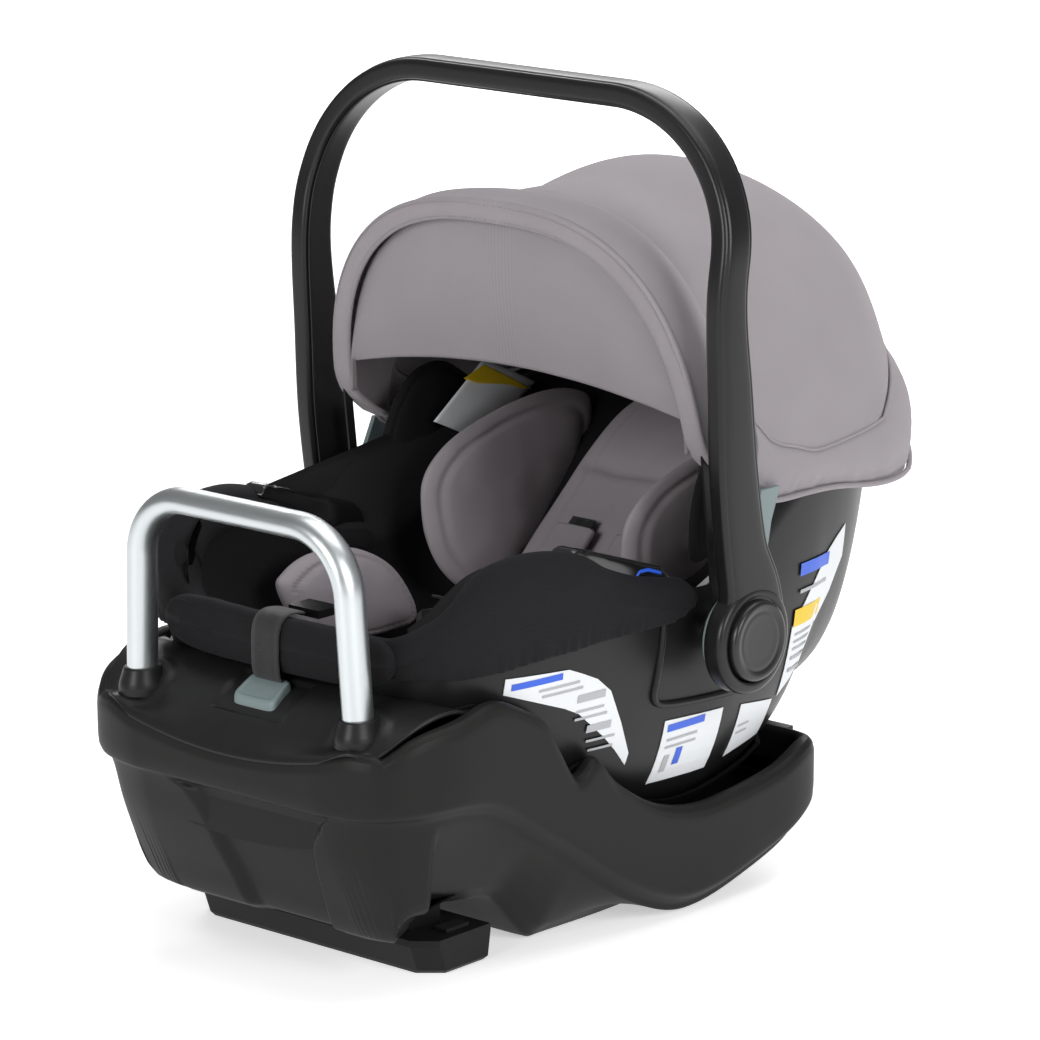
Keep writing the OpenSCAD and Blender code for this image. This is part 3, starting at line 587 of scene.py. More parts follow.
# base shell: rounded rim, band, crease, tapering wall, front recess
base = {
    "half": [(-352, 96), (-348, 118), (-340, 136), (-325, 151), (-300, 162), (-270, 167), (-200, 168),
             (90, 168), (125, 163), (142, 153), (151, 138)],
    "rim": [(-352, 172), (-340, 180), (-315, 196), (-273, 205), (-241, 211), (-209, 199), (-187, 185),
            (-175, 166), (-156, 138), (-146, 138), (-132, 147), (-109, 124), (-63, 96), (-16, 84), (31, 85),
            (80, 91), (123, 102), (151, 100)],
    "low": [(-352, 60), (-303, 60), (-210, 46), (-193, 44), (-184, 38), (-150, 3), (-138, 1), (-20, 1),
            (60, 13), (139, 41), (151, 60)],
    "crease": [(-352, 140), (-330, 140), (-243, 134), (-172, 93), (-80, 34), (-20, 14), (60, 26), (139, 54),
               (151, 72)],
    "front": [(0, 66), (31, 60), (38, 48), (64, 34), (100, 18), (136, 7), (139, 2), (158, 0), (230, 0)],
    "roll": [(0, 17), (0.1, 17), (0.18, 14), (0.22, 10), (0.27, 5), (0.31, 1.6), (0.36, 0), (1, 0)],
    "lip": {"low": 168, "rise": 17, "over": 115, "flatFrom": 118},  # the dip of the foot-end edge
    "ends": (151, -352), "footFrom": -290, "noseLow": 31, "noseBack": 66, "recessDeep": 6.5,
    "recess": ([(41, 65), (65, 69), (89, 73), (102, 75), (114, 78), (125, 86), (136, 101), (150, 120)],
               [(41, -24), (67, -26), (86, -31), (109, -35), (120, -41), (129, -49), (136, -65), (150, -90)])}
baseLine = Outline(lambda y: curveAt(y, base["half"]), *base["ends"], closed=True)
frontFrom = 0.5 - base["lip"]["flatFrom"] / baseLine.length


def lipRise(x):  # how far the foot-end edge has risen beside the middle
    return base["lip"]["rise"] * (min(abs(x), base["lip"]["flatFrom"]) / base["lip"]["over"]) ** 2


def baseShell():
    footFrom = base["footFrom"]  # behind this line the wall stands on the recline foot's housing
    spread = [(0, 0), (0.26, frontFrom), (0.74, 1 - frontFrom), (1, 1)]  # more points on the front face

    def place(u, v):
        x, y, nx, ny = baseLine.at(lineAt(u, spread))
        side = nx * nx
        rim = curveAt(y, base["rim"])
        if y < -338:
            rim = mix(base["lip"]["low"] + lipRise(x) + 1, rim, side)
        low = curveAt(y, base["low"])
        if y < -240:
            low = mix(base["noseLow"], low, side)
        crease = min(max(curveAt(y, base["crease"]), low + 9), rim - 22)
        taper = max(22, curveAt(y, base["half"]) - 116) if y > footFrom else 26
        deep = max(low + 14, rim - 70)
        # share of the way down, distance in from the outline, height
        rows = [(0, 17, deep), (0.1, 17, rim - 16), (0.14, 16.5, rim - 7), (0.18, 14, rim - 2),
                (0.22, 10, rim), (0.27, 5, rim - 0.8), (0.31, 1.6, rim - 4), (0.36, 0, rim - 10),
                (0.46, 0, mix(rim, crease, 0.75)), (0.5, 0.6, crease + 4), (0.53, 2.4, crease + 1),
                (0.56, 7, crease - 2.5),
                (0.6, 12, crease - 7), (0.64, 13.5, crease - 12), (0.84, mix(13.5, taper, 0.8), low + 12),
                (0.89, taper, low + 5), (0.92, taper + 4, low + 1), (0.94, taper + 9, low), (1, 2000, low)]
        inset = lineAt(v, [(r[0], r[1]) for r in rows])
        z = lineAt(v, [(r[0], r[2]) for r in rows])
        if v > 0.94:
            k = (v - 0.94) / 0.06
            edge = max(0, abs(x) - abs(nx) * (taper + 9))
            if y <= footFrom:  # the floor stops short of the nose
                y += base["noseBack"]
            return (math.copysign(edge * (1 - k), x), y, z)
        roll = lineAt(v, base["roll"])
        back = curveAt(z, base["front"]) if v > 0.36 else 0
        if v > 0.36 and ny < -0.6 and z < 138:  # wide shallow recess
            right, left = lineAt(z, base["recess"][0]), lineAt(z, base["recess"][1])
            sunk = ease((right - x) / 3.5) * ease((x - left) / 16)
            back += base["recessDeep"] * sunk * ease((137 - z) / 4)
        front = (roll + back) if ny < 0 else min(inset, 15) * 0.6
        return (x - nx * inset, y - ny * front, z)
    bm = gridSkin(560, 92, place, outside=(0, -100, 60))
    return makePiece("baseShell", bm, finishes["base"], "base", ["base_shell"])


baseShell()
print("base shell done")


# front deck of the base, between the shoulders
bar = {"half": (9.8, 12.8), "corner": 48, "cornerAt": (54.5, 289.5), "foot": (107, 180), "legTop": 290,
       "y": -322, "leanFrom": 200, "lean": (0.05, 0.03)}
deck = {
    "fall": [(-351, 164), (-348, 169), (-344, 173), (-330, 186), (-315, 198), (-300, 206), (-284, 210),
             (-268, 209), (-252, 200)],
    "ends": (-350.5, -254), "margin": 12, "edge": 26, "pad": (26, 8, 2.2), "well": (32, 17, 2.6),
    "wellAt": -307, "wall": 3}


def baseDeck():
    padSize, padSlope, padHigh = deck["pad"]
    wellHalf, wellLong, wellDeep = deck["well"]  # the hollow round the release button

    def place(u, v):
        y = mix(*deck["ends"], v)
        half = curveAt(y, base["half"]) - deck["margin"]
        x = (2 * u - 1) * half
        front = ease((-330 - y) / 20)
        z = curveAt(y, deck["fall"]) + front * lipRise(x)
        edge = ease((abs(x) - half + deck["edge"]) / deck["edge"])
        z = mix(z, max(z, curveAt(y, base["rim"]) - 2), edge * (1 - front) * 0.8)
        for barX in (bar["foot"][0], -bar["foot"][0]):  # soft pads round the bar's feet
            z += padHigh * ease((padSize - math.dist((x, y), (barX, bar["y"]))) / padSlope)
        d = max(abs(x) / wellHalf, abs(y - deck["wellAt"]) / wellLong)
        return (x, y, z - wellDeep * ease((1.12 - d) / 0.14))
    bm = gridSkin(150, 70, place, outside=(0, -300, 100))
    return makePiece("baseDeck", bm, finishes["deck"], "base", ["base_deck"], thick=deck["wall"])


baseDeck()


button = {
    "half": (21, 12), "y": -306.5, "narrowing": 0.006,
    "top": [(-319, 199.4), (-314, 203), (-306, 208.2), (-300, 211.5), (-294, 211)],
    "size": [(0, 1), (0.3, 1), (0.42, 0.97), (0.55, 0.86), (0.7, 0.8), (1, 0)],
    "drop": [(0, 9), (0.3, 3.4), (0.42, 1.2), (0.55, 0.4), (0.7, 1.0), (1, 1.4)]}


def releaseButton():
    wide, long = button["half"]

    def place(u, v):
        a = u * 2 * math.pi
        size = lineAt(v, button["size"])
        x = wide * power(math.cos(a), 0.3) * size
        s = long * power(math.sin(a), 0.3) * size
        y = button["y"] + s
        z = lineAt(y, button["top"]) - lineAt(v, button["drop"])
        return (x * (1 - button["narrowing"] * (s + long)), y, z)
    bm = gridSkin(72, 24, place, caps=True)
    return makePiece("releaseButton", bm, finishes["slate"], "release_button", ["release_button"])


releaseButton()


# rebound bar and its collars
def corner(centre, radius, step):  # quarter turn from sideways to up
    return [(centre[0] + radius * math.cos(math.radians(a)), centre[1] + radius * math.sin(math.radians(a)))
            for a in range(0, 91, step)]


barLine = [(bar["foot"][0] - (z - bar["leanFrom"]) * bar["lean"][0], z)
           for z in range(bar["foot"][1], bar["legTop"], 6)] + corner(bar["cornerAt"], bar["corner"], 5)
barLine += [(-x, z) for x, z in reversed(barLine)]


def barRoute(t):
    x, z = alongLine(barLine, t)
    return (x, bar["y"] - bar["lean"][1] * (z - bar["leanFrom"]), z)


def barSection(t, angle):
    return bar["half"][0] * math.sin(angle), bar["half"][1] * math.cos(angle), (0, 1, 0)


makePiece("reboundBar", tube(barRoute, barSection, 150, 40), finishes["aluminium"], "base", ["rebound_bar"])


def lathe(profile, origin, axis="Z", around=64, flat=(1, 1)):  # profile is (radius, height) pairs
    def place(u, v):
        radius, height = alongLine(profile, v)
        a = u * 2 * math.pi
        p, q = radius * flat[0] * math.cos(a), radius * flat[1] * math.sin(a)
        if axis == "X":
            return (origin[0] + height, origin[1] + p, origin[2] + q)
        return (origin[0] + p, origin[1] + q, origin[2] + height)
    return gridSkin(around, 5 * len(profile), place, caps=True)


collars = lathe([(18, 0), (18, 6), (17.4, 9), (15.4, 15), (14.2, 19), (13.2, 20), (12.4, 19.4)],
                (bar["foot"][0], bar["y"], 186), flat=(0.92, 1.06))
makePiece("barCollars", bothSides(collars), finishes["deck"], "base", ["rebound_collars"])
print("base top done")


# handle
handle = {
    "half": 205, "cornerAt": (93, 499), "corner": 112, "seam": (4.5, 0.9, 0.09), "crown": 0.9,
    "mid": [(218, -8), (250, -7), (285, -17), (340, -26), (400, -31), (474, -36), (534, -27), (600, -20),
            (640, -20)],
    "deep": [(206, 34), (218, 37), (235, 35.5), (250, 31), (268, 26.5), (285, 24), (340, 22), (400, 19.5),
             (474, 16.5), (640, 16)],
    "knuckle": [(12, 196.6), (37, 196.6), (40.4, 198), (41, 201), (41, 210), (40.2, 212.6), (38, 214),
                (34.4, 214.6), (32.2, 214), (31.4, 212), (31.4, 203.2), (12, 203.2)],
    "disc": [(0.5, 218.4), (15, 218.6), (21, 219.0), (22.2, 218.3), (23.4, 219.2), (27, 219.9), (29.2, 219.2),
             (30.4, 217), (30.5, 207.5), (0.5, 207.5)]}


def handleLine(inward, foot):
    side = [(handle["half"] - inward, mix(foot, handle["cornerAt"][1], k / 40)) for k in range(40)]
    half = side + corner(handle["cornerAt"], handle["corner"] - inward, 3)
    return half + [(-x, z) for x, z in reversed(half)]


def handleBar(name, inward, thin, trim, foot, finish, nodes, groove):
    line = handleLine(inward, foot)
    seamFrom, seamWide, seamDeep = handle["seam"]

    def route(t):
        x, z = alongLine(line, t)
        return (x, curveAt(z, handle["mid"]), z)

    def section(t, angle):
        deep = curveAt(route(t)[2], handle["deep"]) + trim
        a, b = thin * power(math.cos(angle), 0.42), deep * power(math.sin(angle), 0.42)
        if groove:  # the parting line near both edges, and a slightly crowned face
            a *= 1 - seamDeep * math.exp(-((abs(b) - deep + seamFrom) / seamWide) ** 2)
            a += math.copysign(handle["crown"] * (1 - (b / deep) ** 2), a)
        return a, b, (0, 1, 0)
    bm = tube(route, section, 200, 88)
    return makePiece(name, bm, finishes[finish], "handle", nodes)


handleBar("handleBow", 0, 8.2, 0, 226, "handle", ["handle_bow"], True)
handleBar("handleLiner", 8.6, 1.0, -4.5, 285, "hub", ["handle_liner"], False)
knuckle = lathe(handle["knuckle"], (0, hubY, hubZ), "X", 96)
makePiece("handleKnuckles", bothSides(knuckle), finishes["handle"], "handle", ["handle_knuckles"], sharp=50)


def hubDisc(side):
    def place(u, v):
        radius, x = alongLine(handle["disc"], v)
        a = u * 2 * math.pi
        return (side * x, hubY + radius * math.cos(a), hubZ + radius * math.sin(a))
    bm = gridSkin(120, 50, place, caps=True)
    tag = "right" if side > 0 else "left"
    node = "hub_button_" + tag
    return makePiece("hubButton" + tag.capitalize(), bm, finishes["hub"], node, [node], sharp=45)


hubDisc(1)
hubDisc(-1)
print("handle done")

# hood: an angle t leans back from upright round the hubs, an angle a runs round the arch
hood = {
    "half": 190, "cloth": 2, "corners": 0.25,
    "reach": [(0, 305), (14, 317), (28, 356), (44, 371), (60, 362), (64, 368), (70, 373), (77, 370)],
    "power": [(0, 1.97), (14, 1.9), (28, 2.1), (44, 2.45), (60, 2.5), (76, 2.4)],
    "foot": [(0, 110), (40, 100), (76, 66)],
    "seam": [(0, 395), (12.7, 373), (21, 355), (33, 345), (41, 339), (50, 340), (60, 342)],
    "hem": [(12, 329), (26, 311), (56, 306), (76, 288)],
    "seamTurn": (13, 60), "hemTurn": (14, 76), "seamBack": 342, "hemBack": 288}


def hoodPoint(t, a, lift=0):
    c, n = curveAt(t, hood["foot"]), curveAt(t, hood["power"])
    r = c + (curveAt(t, hood["reach"]) + lift - c) * abs(math.sin(a)) ** (2 / n)
    x = (hood["half"] + lift) * power(math.cos(a), 2 / n)
    turn = math.radians(t)
    return (x, hubY + r * math.sin(turn), hubZ + r * math.cos(turn))


def hoodLow(t, z):  # angle at which the arch at t stands at height z
    r, c = (z - hubZ) / math.cos(math.radians(t)), curveAt(t, hood["foot"])
    s = clamp((r - c) / (curveAt(t, hood["reach"]) - c))
    return math.asin(s ** (curveAt(t, hood["power"]) / 2))


def spreadArch(u):  # even points along an arch whose ends are steep
    return mix(u, 0.5 - 0.5 * math.cos(u * math.pi), 0.45)


def canopyDome():
    def place(u, v):
        t = mix(0.0, 60, v)
        a = hoodLow(t, curveAt(t, hood["seam"]))
        angle = mix(a, math.pi - a, spreadArch(u))
        lift = -0.6 + 0.9 * ripple(angle * 90, t * 4, 0, 60, 3)
        lift -= 2.6 * ease((3 - t) / 5) + 2.0 * ease((t - 58) / 2)  # the cloth dips at its two edges
        lift += 0.35 * ripple(angle * 300, t * 6, 0, 22, 7) * (ease((t - 40) / 20) + ease((12 - t) / 12))
        return hoodPoint(t, angle, lift)
    bm = gridSkin(180, 90, place, (0.66, 0.36), outside=(0, 100, 300))
    return makePiece("canopyDome", bm, finishes["knit"], "carrier", ["canopy_dome"], thick=hood["cloth"])


def seamAt(p):  # (t, a) of the seam and of the hem, p from one front corner round to the other
    q = min(p, 1 - p)
    k = q / hood["corners"]
    pair = []
    for edge in ("seam", "hem"):
        near, far = hood[edge + "Turn"]
        if k < 1:  # along the side
            t = mix(near, far, k)
            a = hoodLow(t, curveAt(t, hood[edge]))
        else:  # across the back
            t = far
            a = mix(hoodLow(t, hood[edge + "Back"]), math.pi / 2, k - 1)
        pair.append((t, a if p <= 0.5 else math.pi - a))
    return pair


def canopySkirt():
    def place(u, v):
        seam, hem = seamAt(u)
        t, a = mix(seam[0], hem[0], v), mix(seam[1], hem[1], v)
        gather = math.sin(u * 330) * 0.5 + ripple(u * 900, v * 8, 0, 14, 2) * 1.3
        lift = -2.2 + 4.0 * math.sin(clamp(v * 1.25) * math.pi) ** 0.7 + gather * ease((v - 0.45) / 0.5) * 0.8
        lift += 0.8 * ripple(u * 600, v * 20, 0, 30, 5) * ease(v / 0.3)
        lift -= 3.5 * ease((v - 0.86) / 0.14)
        return hoodPoint(t, a, min(lift, 3.2))
    bm = gridSkin(300, 26, place, (1.1, 0.08), outside=(0, 100, 300))
    return makePiece("canopySkirt", bm, finishes["knit"], "carrier", ["canopy_skirt"], thick=hood["cloth"])


brim = {  # the front section that swings; its angles lean forwards from upright
    "half": 184, "foot": 110, "start": 116, "reach": (303, 312), "power": (1.97, 2.65), "cloth": 2,
    "lean": [(110, -34), (115, -21.4), (118, -12), (122, -4), (129, 3.5), (140, 7.4), (160, 9.3), (320, 9.2)],
    "under": [(115, -27), (130, -17), (170, -14)],
    "visor": {"top": 358, "inset": 16, "lean": 7.6, "y": -38, "z": 398, "sag": 20, "bow": 6, "belly": 4,
              "cloth": 2.2}}


def frontPoint(a, lean, inset=0):
    k = ease((lean + 9) / 14)  # boxy at the front edge, rounder where it runs under the dome
    n, reach = mix(*brim["power"], k), mix(*brim["reach"], k)
    x = (brim["half"] - inset) * power(math.cos(a), 2 / n)
    r = brim["foot"] + (reach - inset - brim["foot"]) * abs(math.sin(a)) ** (2 / n)
    turn = math.radians(lean)
    return (x, hubY - r * math.sin(turn), hubZ + r * math.cos(turn))


def frontRadius(a):
    return brim["foot"] + (brim["reach"][1] - brim["foot"]) * abs(math.sin(a)) ** (2 / brim["power"][1])


def frontAngle(r):  # the angle round the arch at a radius
    return math.asin(((r - brim["foot"]) / (brim["reach"][1] - brim["foot"])) ** (brim["power"][1] / 2))


def frontLean(r):
    return curveAt(r, brim["lean"])


frontFoot = frontAngle(brim["start"])


def canopyFront():
    def place(u, v):
        a = mix(frontFoot, math.pi - frontFoot, spreadArch(u))
        r = frontRadius(a)
        lean = mix(lineAt(r, brim["under"]), frontLean(r) - 0.6, v)
        inset = 1.2 + 0.6 * ripple(a * 120, v * 30, 0, 26, 4) + 1.2 * ease((v - 0.8) / 0.2)
        return frontPoint(a, lean, inset)
    bm = gridSkin(180, 30, place, (0.78, 0.1), outside=(0, -10, 300))
    return makePiece("canopyFront", bm, finishes["knit"], "canopy", ["canopy_front"], thick=brim["cloth"])


def frontEdge(t, inset, ahead=0.0):  # route along the front edge
    a = mix(frontFoot, math.pi - frontFoot, spreadArch(t))
    return frontPoint(a, frontLean(frontRadius(a)) + ahead, inset)


def canopyBinding():
    def route(t):
        return frontEdge(t, 9)

    def section(t, angle):
        wave = 1 + 0.04 * math.sin(t * 420)
        return 8.6 * power(math.cos(angle), 0.55), 2.7 * power(math.sin(angle), 0.7) * wave, (0, 1, 0.05)
    return makePiece("canopyBinding", tube(route, section, 220, 28, 0.8), finishes["edging"], "canopy",
                     ["canopy_binding"])


def visorSheet():
    flap = brim["visor"]
    top = frontAngle(flap["top"] - hubZ)

    def place(u, v):
        x, y, z = frontPoint(mix(top, math.pi - top, spreadArch(u)), flap["lean"], flap["inset"])
        lowX = x * 0.985
        bend = (lowX / 165) ** 2
        lowY, lowZ = flap["y"] + flap["bow"] * bend, min(flap["z"] - flap["sag"] * bend, z)
        away = 0.8 * ripple(x, 0, v * 60, 34, 8) - flap["belly"] * math.sin(v * math.pi)
        return (mix(x, lowX, v), mix(y, lowY, v) + away, mix(z, lowZ, v))
    bm = gridSkin(150, 44, place, (0.42, 0.13), outside=(0, 200, 430))
    return makePiece("visorSheet", bm, finishes["knit"], "canopy", ["visor"], thick=brim["visor"]["cloth"])


dome = canopyDome()
skirt = canopySkirt()
front = canopyFront()
binding = canopyBinding()
visor = visorSheet()


def edging(name, bm, body):  # trim in the hood's edging cloth, over pieces that stand for the nodes
    return makePiece(name, bm, finishes["edging"], body)


def domeEdge(t):  # the dome's front edge
    a = hoodLow(0, 395)
    return hoodPoint(0, mix(a, math.pi - a, spreadArch(t)), -1.6)


seamRoll = edging("hoodSeamCord", thread(lambda t: hoodPoint(*seamAt(t)[0], -0.9), 1.3, 8, 300), "carrier")
frontCord = edging("hoodFrontCord", thread(domeEdge, 1.3, 8, 200), "carrier")
hemCord = edging("hoodHemCord", thread(lambda t: hoodPoint(*seamAt(t)[1], -2.4), 2.2, 8, 300), "carrier")
bindStitch = stitches(lambda t: frontEdge(t, 3.2, 0.62), 250, 2.1)
joinInto(bindStitch, stitches(lambda t: frontEdge(t, 14.6, 0.62), 240, 2.1))
bindStitches = edging("bindingStitches", bindStitch, "canopy")
for piece in (dome, skirt, front, visor):
    print("cloth area in square metres", piece.name, round(meshArea(piece), 4))
print("canopy done")


# soft seat: rim roll, lining, foot roll, wings, insert
tubLine = Outline(lambda y: curveAt(y, tub["half"]), -18, -284)


# section of the cover's edge: distance out from the tub, then a level and the distance above it
rimRing = [(4.5, "hem", 0), (6.5, "hem", 4), (8, "mid", 0), (8.5, "rim", -12), (6, "rim", 1), (0, "rim", 7.5),
           (-8, "rim", 9), (-17, "rim", 5), (-24, "rim", -3), (-28, "rim", -12), (-26, "rim", -20),
           (-12, "rim", -14), (0.6, "rim", -10), (1.5, "mid", 0)]


def padRim():
    ring = list(enumerate([rimRing[-1]] + rimRing + rimRing[:2], -1))

    def place(u, v):
        x, y, nx, ny = tubLine.at(v)
        rim = curveAt(y, tub["rim"])
        hem = min(curveAt(y, tub["hem"]), rim - 12)
        levels = {"hem": hem, "mid": (rim + hem) / 2, "rim": rim}
        k = u * len(rimRing)
        offset = curveAt(k, [(i, r[0]) for i, r in ring])
        z = curveAt(k, [(i, levels[r[1]] + r[2]) for i, r in ring])
        outer = ease((offset - 2) / 3)
        near = ease((hem + 16 - z) / 16) * outer
        s = v * tubLine.length
        offset += near * (0.9 * math.sin(s * 0.75 + 2 * math.sin(s * 0.11)) + 0.6 * ripple(s, 0, 0, 9, 1))
        offset += 0.9 * ripple(s, z, 0, 26, 6) * outer
        z += 0.8 * ripple(s, 40, 0, 30, 9)
        ends = ease(v / 0.03) * ease((1 - v) / 0.03)
        offset = mix(-6, offset, 0.35 + 0.65 * ends)
        z = mix(rim - 6, z, 0.35 + 0.65 * ends)
        return (x + nx * offset, y + ny * offset, z)
    bm = gridSkin(64, 260, place, (0.12, 0.8), caps=True)
    return makePiece("padRim", bm, finishes["black"], "carrier", ["pad_rim"])


lining = {"ends": (-272, 292), "inset": (13, 25), "deep": 13, "seamAt": 62, "seamDeep": 2.5}


def seatLining():
    def place(u, v):
        y = mix(*lining["ends"], v)
        rim = curveAt(y, tub["rim"])
        inner = u >= 0.5
        s = 2 - 2 * u if inner else u * 2
        low = max(curveAt(y, tub["seat"]) - 32, curveAt(y, tub["low"]) + 14)
        if inner:
            low = min(low + lining["deep"], rim - 3)
        x, _, z = tubPoint(y, spreadTurn(s), lining["inset"][inner], low)
        if inner:
            z += 1.2 * ripple(x, y, 0, 40, 4)
            z -= lining["seamDeep"] * math.exp(-((abs(x) - lining["seamAt"]) / 4) ** 2)
        return (x, y, min(z, rim + (2 if inner else 0)))
    bm = gridSkin(120, 110, place, (0.9, 0.6), caps=True)
    return makePiece("seatLining", bm, finishes["smooth"], "carrier", ["seat_pad"])


rollSize = {"half": 112, "y": -292.5, "z": 236, "curl": 3, "deep": 10, "tall": 20.5, "taper": 4}


def footRoll():
    half = rollSize["half"]

    def route(t):
        x = mix(-half, half, t)
        curl = rollSize["curl"]
        return (x, rollSize["y"] + curl * (x / half) ** 4, rollSize["z"] + curl * (x / half) ** 2)

    def section(t, angle):
        x = abs(mix(-half, half, t))
        end = math.sqrt(max(0.02, 1 - (x / (half + 0.5)) ** 10))
        deep, tall = rollSize["deep"] * end, (rollSize["tall"] - rollSize["taper"] * (x / half) ** 6) * end
        seam = 1 - 0.06 * math.exp(-((math.sin(angle) - 0.45) / 0.06) ** 2)
        puff = 1 + 0.03 * ripple(x * (1 if t > 0.5 else -1), angle * 20, 0, 18, 3)
        a = deep * power(math.cos(angle), 0.8) * seam * puff
        return a, tall * power(math.sin(angle), 0.75) * puff, (0, 0, 1)
    bm = tube(route, section, 140, 48, 0.24)
    return makePiece("footRoll", bm, finishes["black"], "carrier", ["foot_roll"])


# pillow with an outline in (y, z): xAt(y, z) is its middle plane and thick half its thickness
def blob(outline, centre, xAt, thick, border=0.84, dip=2.2, gather=0.0, around=120, rings=28, waves=60):
    closed = list(enumerate(outline[-2:] + outline + outline[:2], -2))

    def place(u, v):
        k = u * len(outline)
        oy, oz = [curveAt(k, [(i, p[axis]) for i, p in closed]) for axis in (0, 1)]
        rho = 1 - abs(2 * v - 1)
        face = 1 if v < 0.5 else -1
        rho = math.sin(rho * math.pi / 2)
        y, z = mix(centre[0], oy, rho), mix(centre[1], oz, rho)
        body = thick * max(0.0, 1 - rho ** 3.2) ** 0.5
        body -= dip * math.exp(-((rho - border) / 0.035) ** 2)
        body += gather * math.sin(u * 2 * math.pi * waves) * math.exp(-((rho - border - 0.03) / 0.06) ** 2)
        body += 0.9 * ripple(y, z, face * 9, 24, 2)
        return (xAt(y, z) + face * max(body, 0.3 if rho < 0.999 else 0), y, z)
    return gridSkin(around, rings * 2, place, (0.5, 0.25))


wingOutline = [(12, 201), (-16, 228), (-26, 262), (-22, 292), (7, 315), (60, 330), (113, 337), (156, 334),
               (178, 320), (168, 283), (138, 248), (95, 215), (54, 196)]
bolsterOutline = [(-181, 234), (-173, 247), (-146, 256), (-102, 253), (-63, 234), (-40, 206), (-35, 185),
                  (-63, 181), (-103, 183), (-152, 193)]
wings = blob(wingOutline, (72, 268), lambda y, z: 99 + 0.09 * (z - 260), 11, gather=0.35)
wingPads = makePiece("insertWings", bothSides(wings), finishes["insert"], "carrier", ["insert_wings"])
bolsters = blob(bolsterOutline, (-105, 218), lambda y, z: 103 + 0.05 * (z - 210), 15, gather=0.9, waves=75)
hipPads = makePiece("hipBolsters", bothSides(bolsters), finishes["insert"], "carrier", ["hip_bolsters"])
headOutline = [(-14, 272), (-8, 320), (12, 351), (36, 365), (62, 364), (92, 346), (114, 332), (92, 330),
               (60, 310), (30, 282), (6, 268)]
heads = blob(headOutline, (34, 326), lambda y, z: curveAt(y, tub["half"]) - 15, 8.5, border=0.88, dip=1.2)
headPads = makePiece("headWings", bothSides(heads), finishes["black"], "carrier", ["head_wings"])


cushion = {"ends": (-152, 204), "half": 79, "narrowing": 18, "puff": 9, "creases": (-64, 52, 128),
           "creaseDeep": 5, "under": -13, "curl": 8, "strapX": 30}


def insertBack():
    def place(u, v):
        inner = u < 0.5
        s = (4 * u - 1) if inner else (3 - 4 * u)
        y = mix(*cushion["ends"], v)
        half = cushion["half"] - cushion["narrowing"] * abs(y - 40) / 190
        half *= math.sqrt(max(0.03, 1 - abs(2 * v - 1) ** 9))
        x = half * s
        z = curveAt(y, tub["seat"]) + cushion["curl"] * s ** 4
        if not inner:
            return (x, y, z + cushion["under"])
        puff = cushion["puff"] * (1 - abs(s) ** 5)
        for crease in cushion["creases"]:
            puff -= cushion["creaseDeep"] * math.exp(-((y - crease) / 4.5) ** 2) * (1 - abs(s) ** 8)
        puff -= 2.6 * math.exp(-((abs(s) - 0.86) / 0.03) ** 2)  # stitched edge
        for strap in (-cushion["strapX"], cushion["strapX"]):
            puff -= 1.8 * math.exp(-((x - strap) / 13) ** 4)
        return (x, y, z + puff - 1 + 0.8 * ripple(x, y, 0, 22, 4))
    bm = gridSkin(120, 130, place, (0.34, 0.45), caps=True)
    return makePiece("insertBack", bm, finishes["insert"], "carrier", ["insert_back"])


def ribbon(points, width, thick, lift=0.0, corners=0.35):  # flat strap along (y, z) points, beside the middle
    smooth = [smoothPath(points, k / 60) for k in range(61)]

    def route(t):
        y, z = alongLine(smooth, t)
        return (cushion["strapX"], y, z + lift)

    def section(t, angle):
        a, b = width / 2 * power(math.cos(angle), corners), thick / 2 * power(math.sin(angle), 0.6)
        return a, b, (0, 0.2, 1)
    return tube(route, section, 70, 28, 0.3)


rimPad = padRim()
seatPad = seatLining()
roll = footRoll()
back = insertBack()
straps = ribbon([(-80, 222), (-40, 206), (0, 206), (30, 215), (60, 233), (84, 253)], 24, 2.2)
makePiece("shoulderStraps", bothSides(straps), finishes["webbing"], "carrier", ["shoulder_straps"])
covers = ribbon([(-24, 203), (0, 206), (30, 215), (60, 234), (74, 246)], 38, 9, 1.5, 0.6)
coverPads = makePiece("strapCovers", bothSides(covers), finishes["insert"], "carrier", ["strap_covers"])


def pipingRoute(t):  # along the roll's upper front edge
    s = 2 * t - 1
    return (94 * s, -300.2 + 3 * s ** 4, 250.5 + 3 * s ** 2)


makePiece("rollPiping", thread(pipingRoute, 0.8, 8, 80), finishes["black"], "carrier")
strapRoute = [(-277, 257), (-285, 258.4), (-293, 258.2), (-299, 255.5), (-303, 249), (-304.3, 240),
              (-304.3, 224), (-303, 214), (-299, 209)]
strapCurve = [smoothPath(strapRoute, k / 50) for k in range(51)]


def strapSection(t, angle):
    return 1.1 * power(math.sin(angle), 0.6), 13.5 * power(math.cos(angle), 0.25), (1, 0, 0)


rollStrap = tube(lambda t: (0, *alongLine(strapCurve, t)), strapSection, 80, 28, 0.08)
makePiece("rollStrap", rollStrap, finishes["webbing"], "carrier", ["adjuster_strap"])


guide = {
    "ends": (-159, -44), "x": 153, "half": 10.5,
    "top": [(-159, 299), (-155, 304), (-150, 305), (-143, 301.5), (-137, 301), (-100, 289), (-54, 273.5),
            (-47, 267), (-44, 260)],
    "low": [(-159, 296), (-150, 290), (-122, 278), (-114, 268), (-83, 256), (-44, 254)]}


def beltGuide():
    def place(u, v):
        y = mix(*guide["ends"], v)
        high, low = lineAt(y, guide["top"]), lineAt(y, guide["low"])
        a = u * 2 * math.pi
        x = guide["x"] + (guide["half"] - 2 * ease((y + 90) / 40)) * power(math.cos(a), 0.4)
        return (x, y, (high + low) / 2 + (high - low) / 2 * power(math.sin(a), 0.45))
    return bothSides(gridSkin(40, 70, place, caps=True))


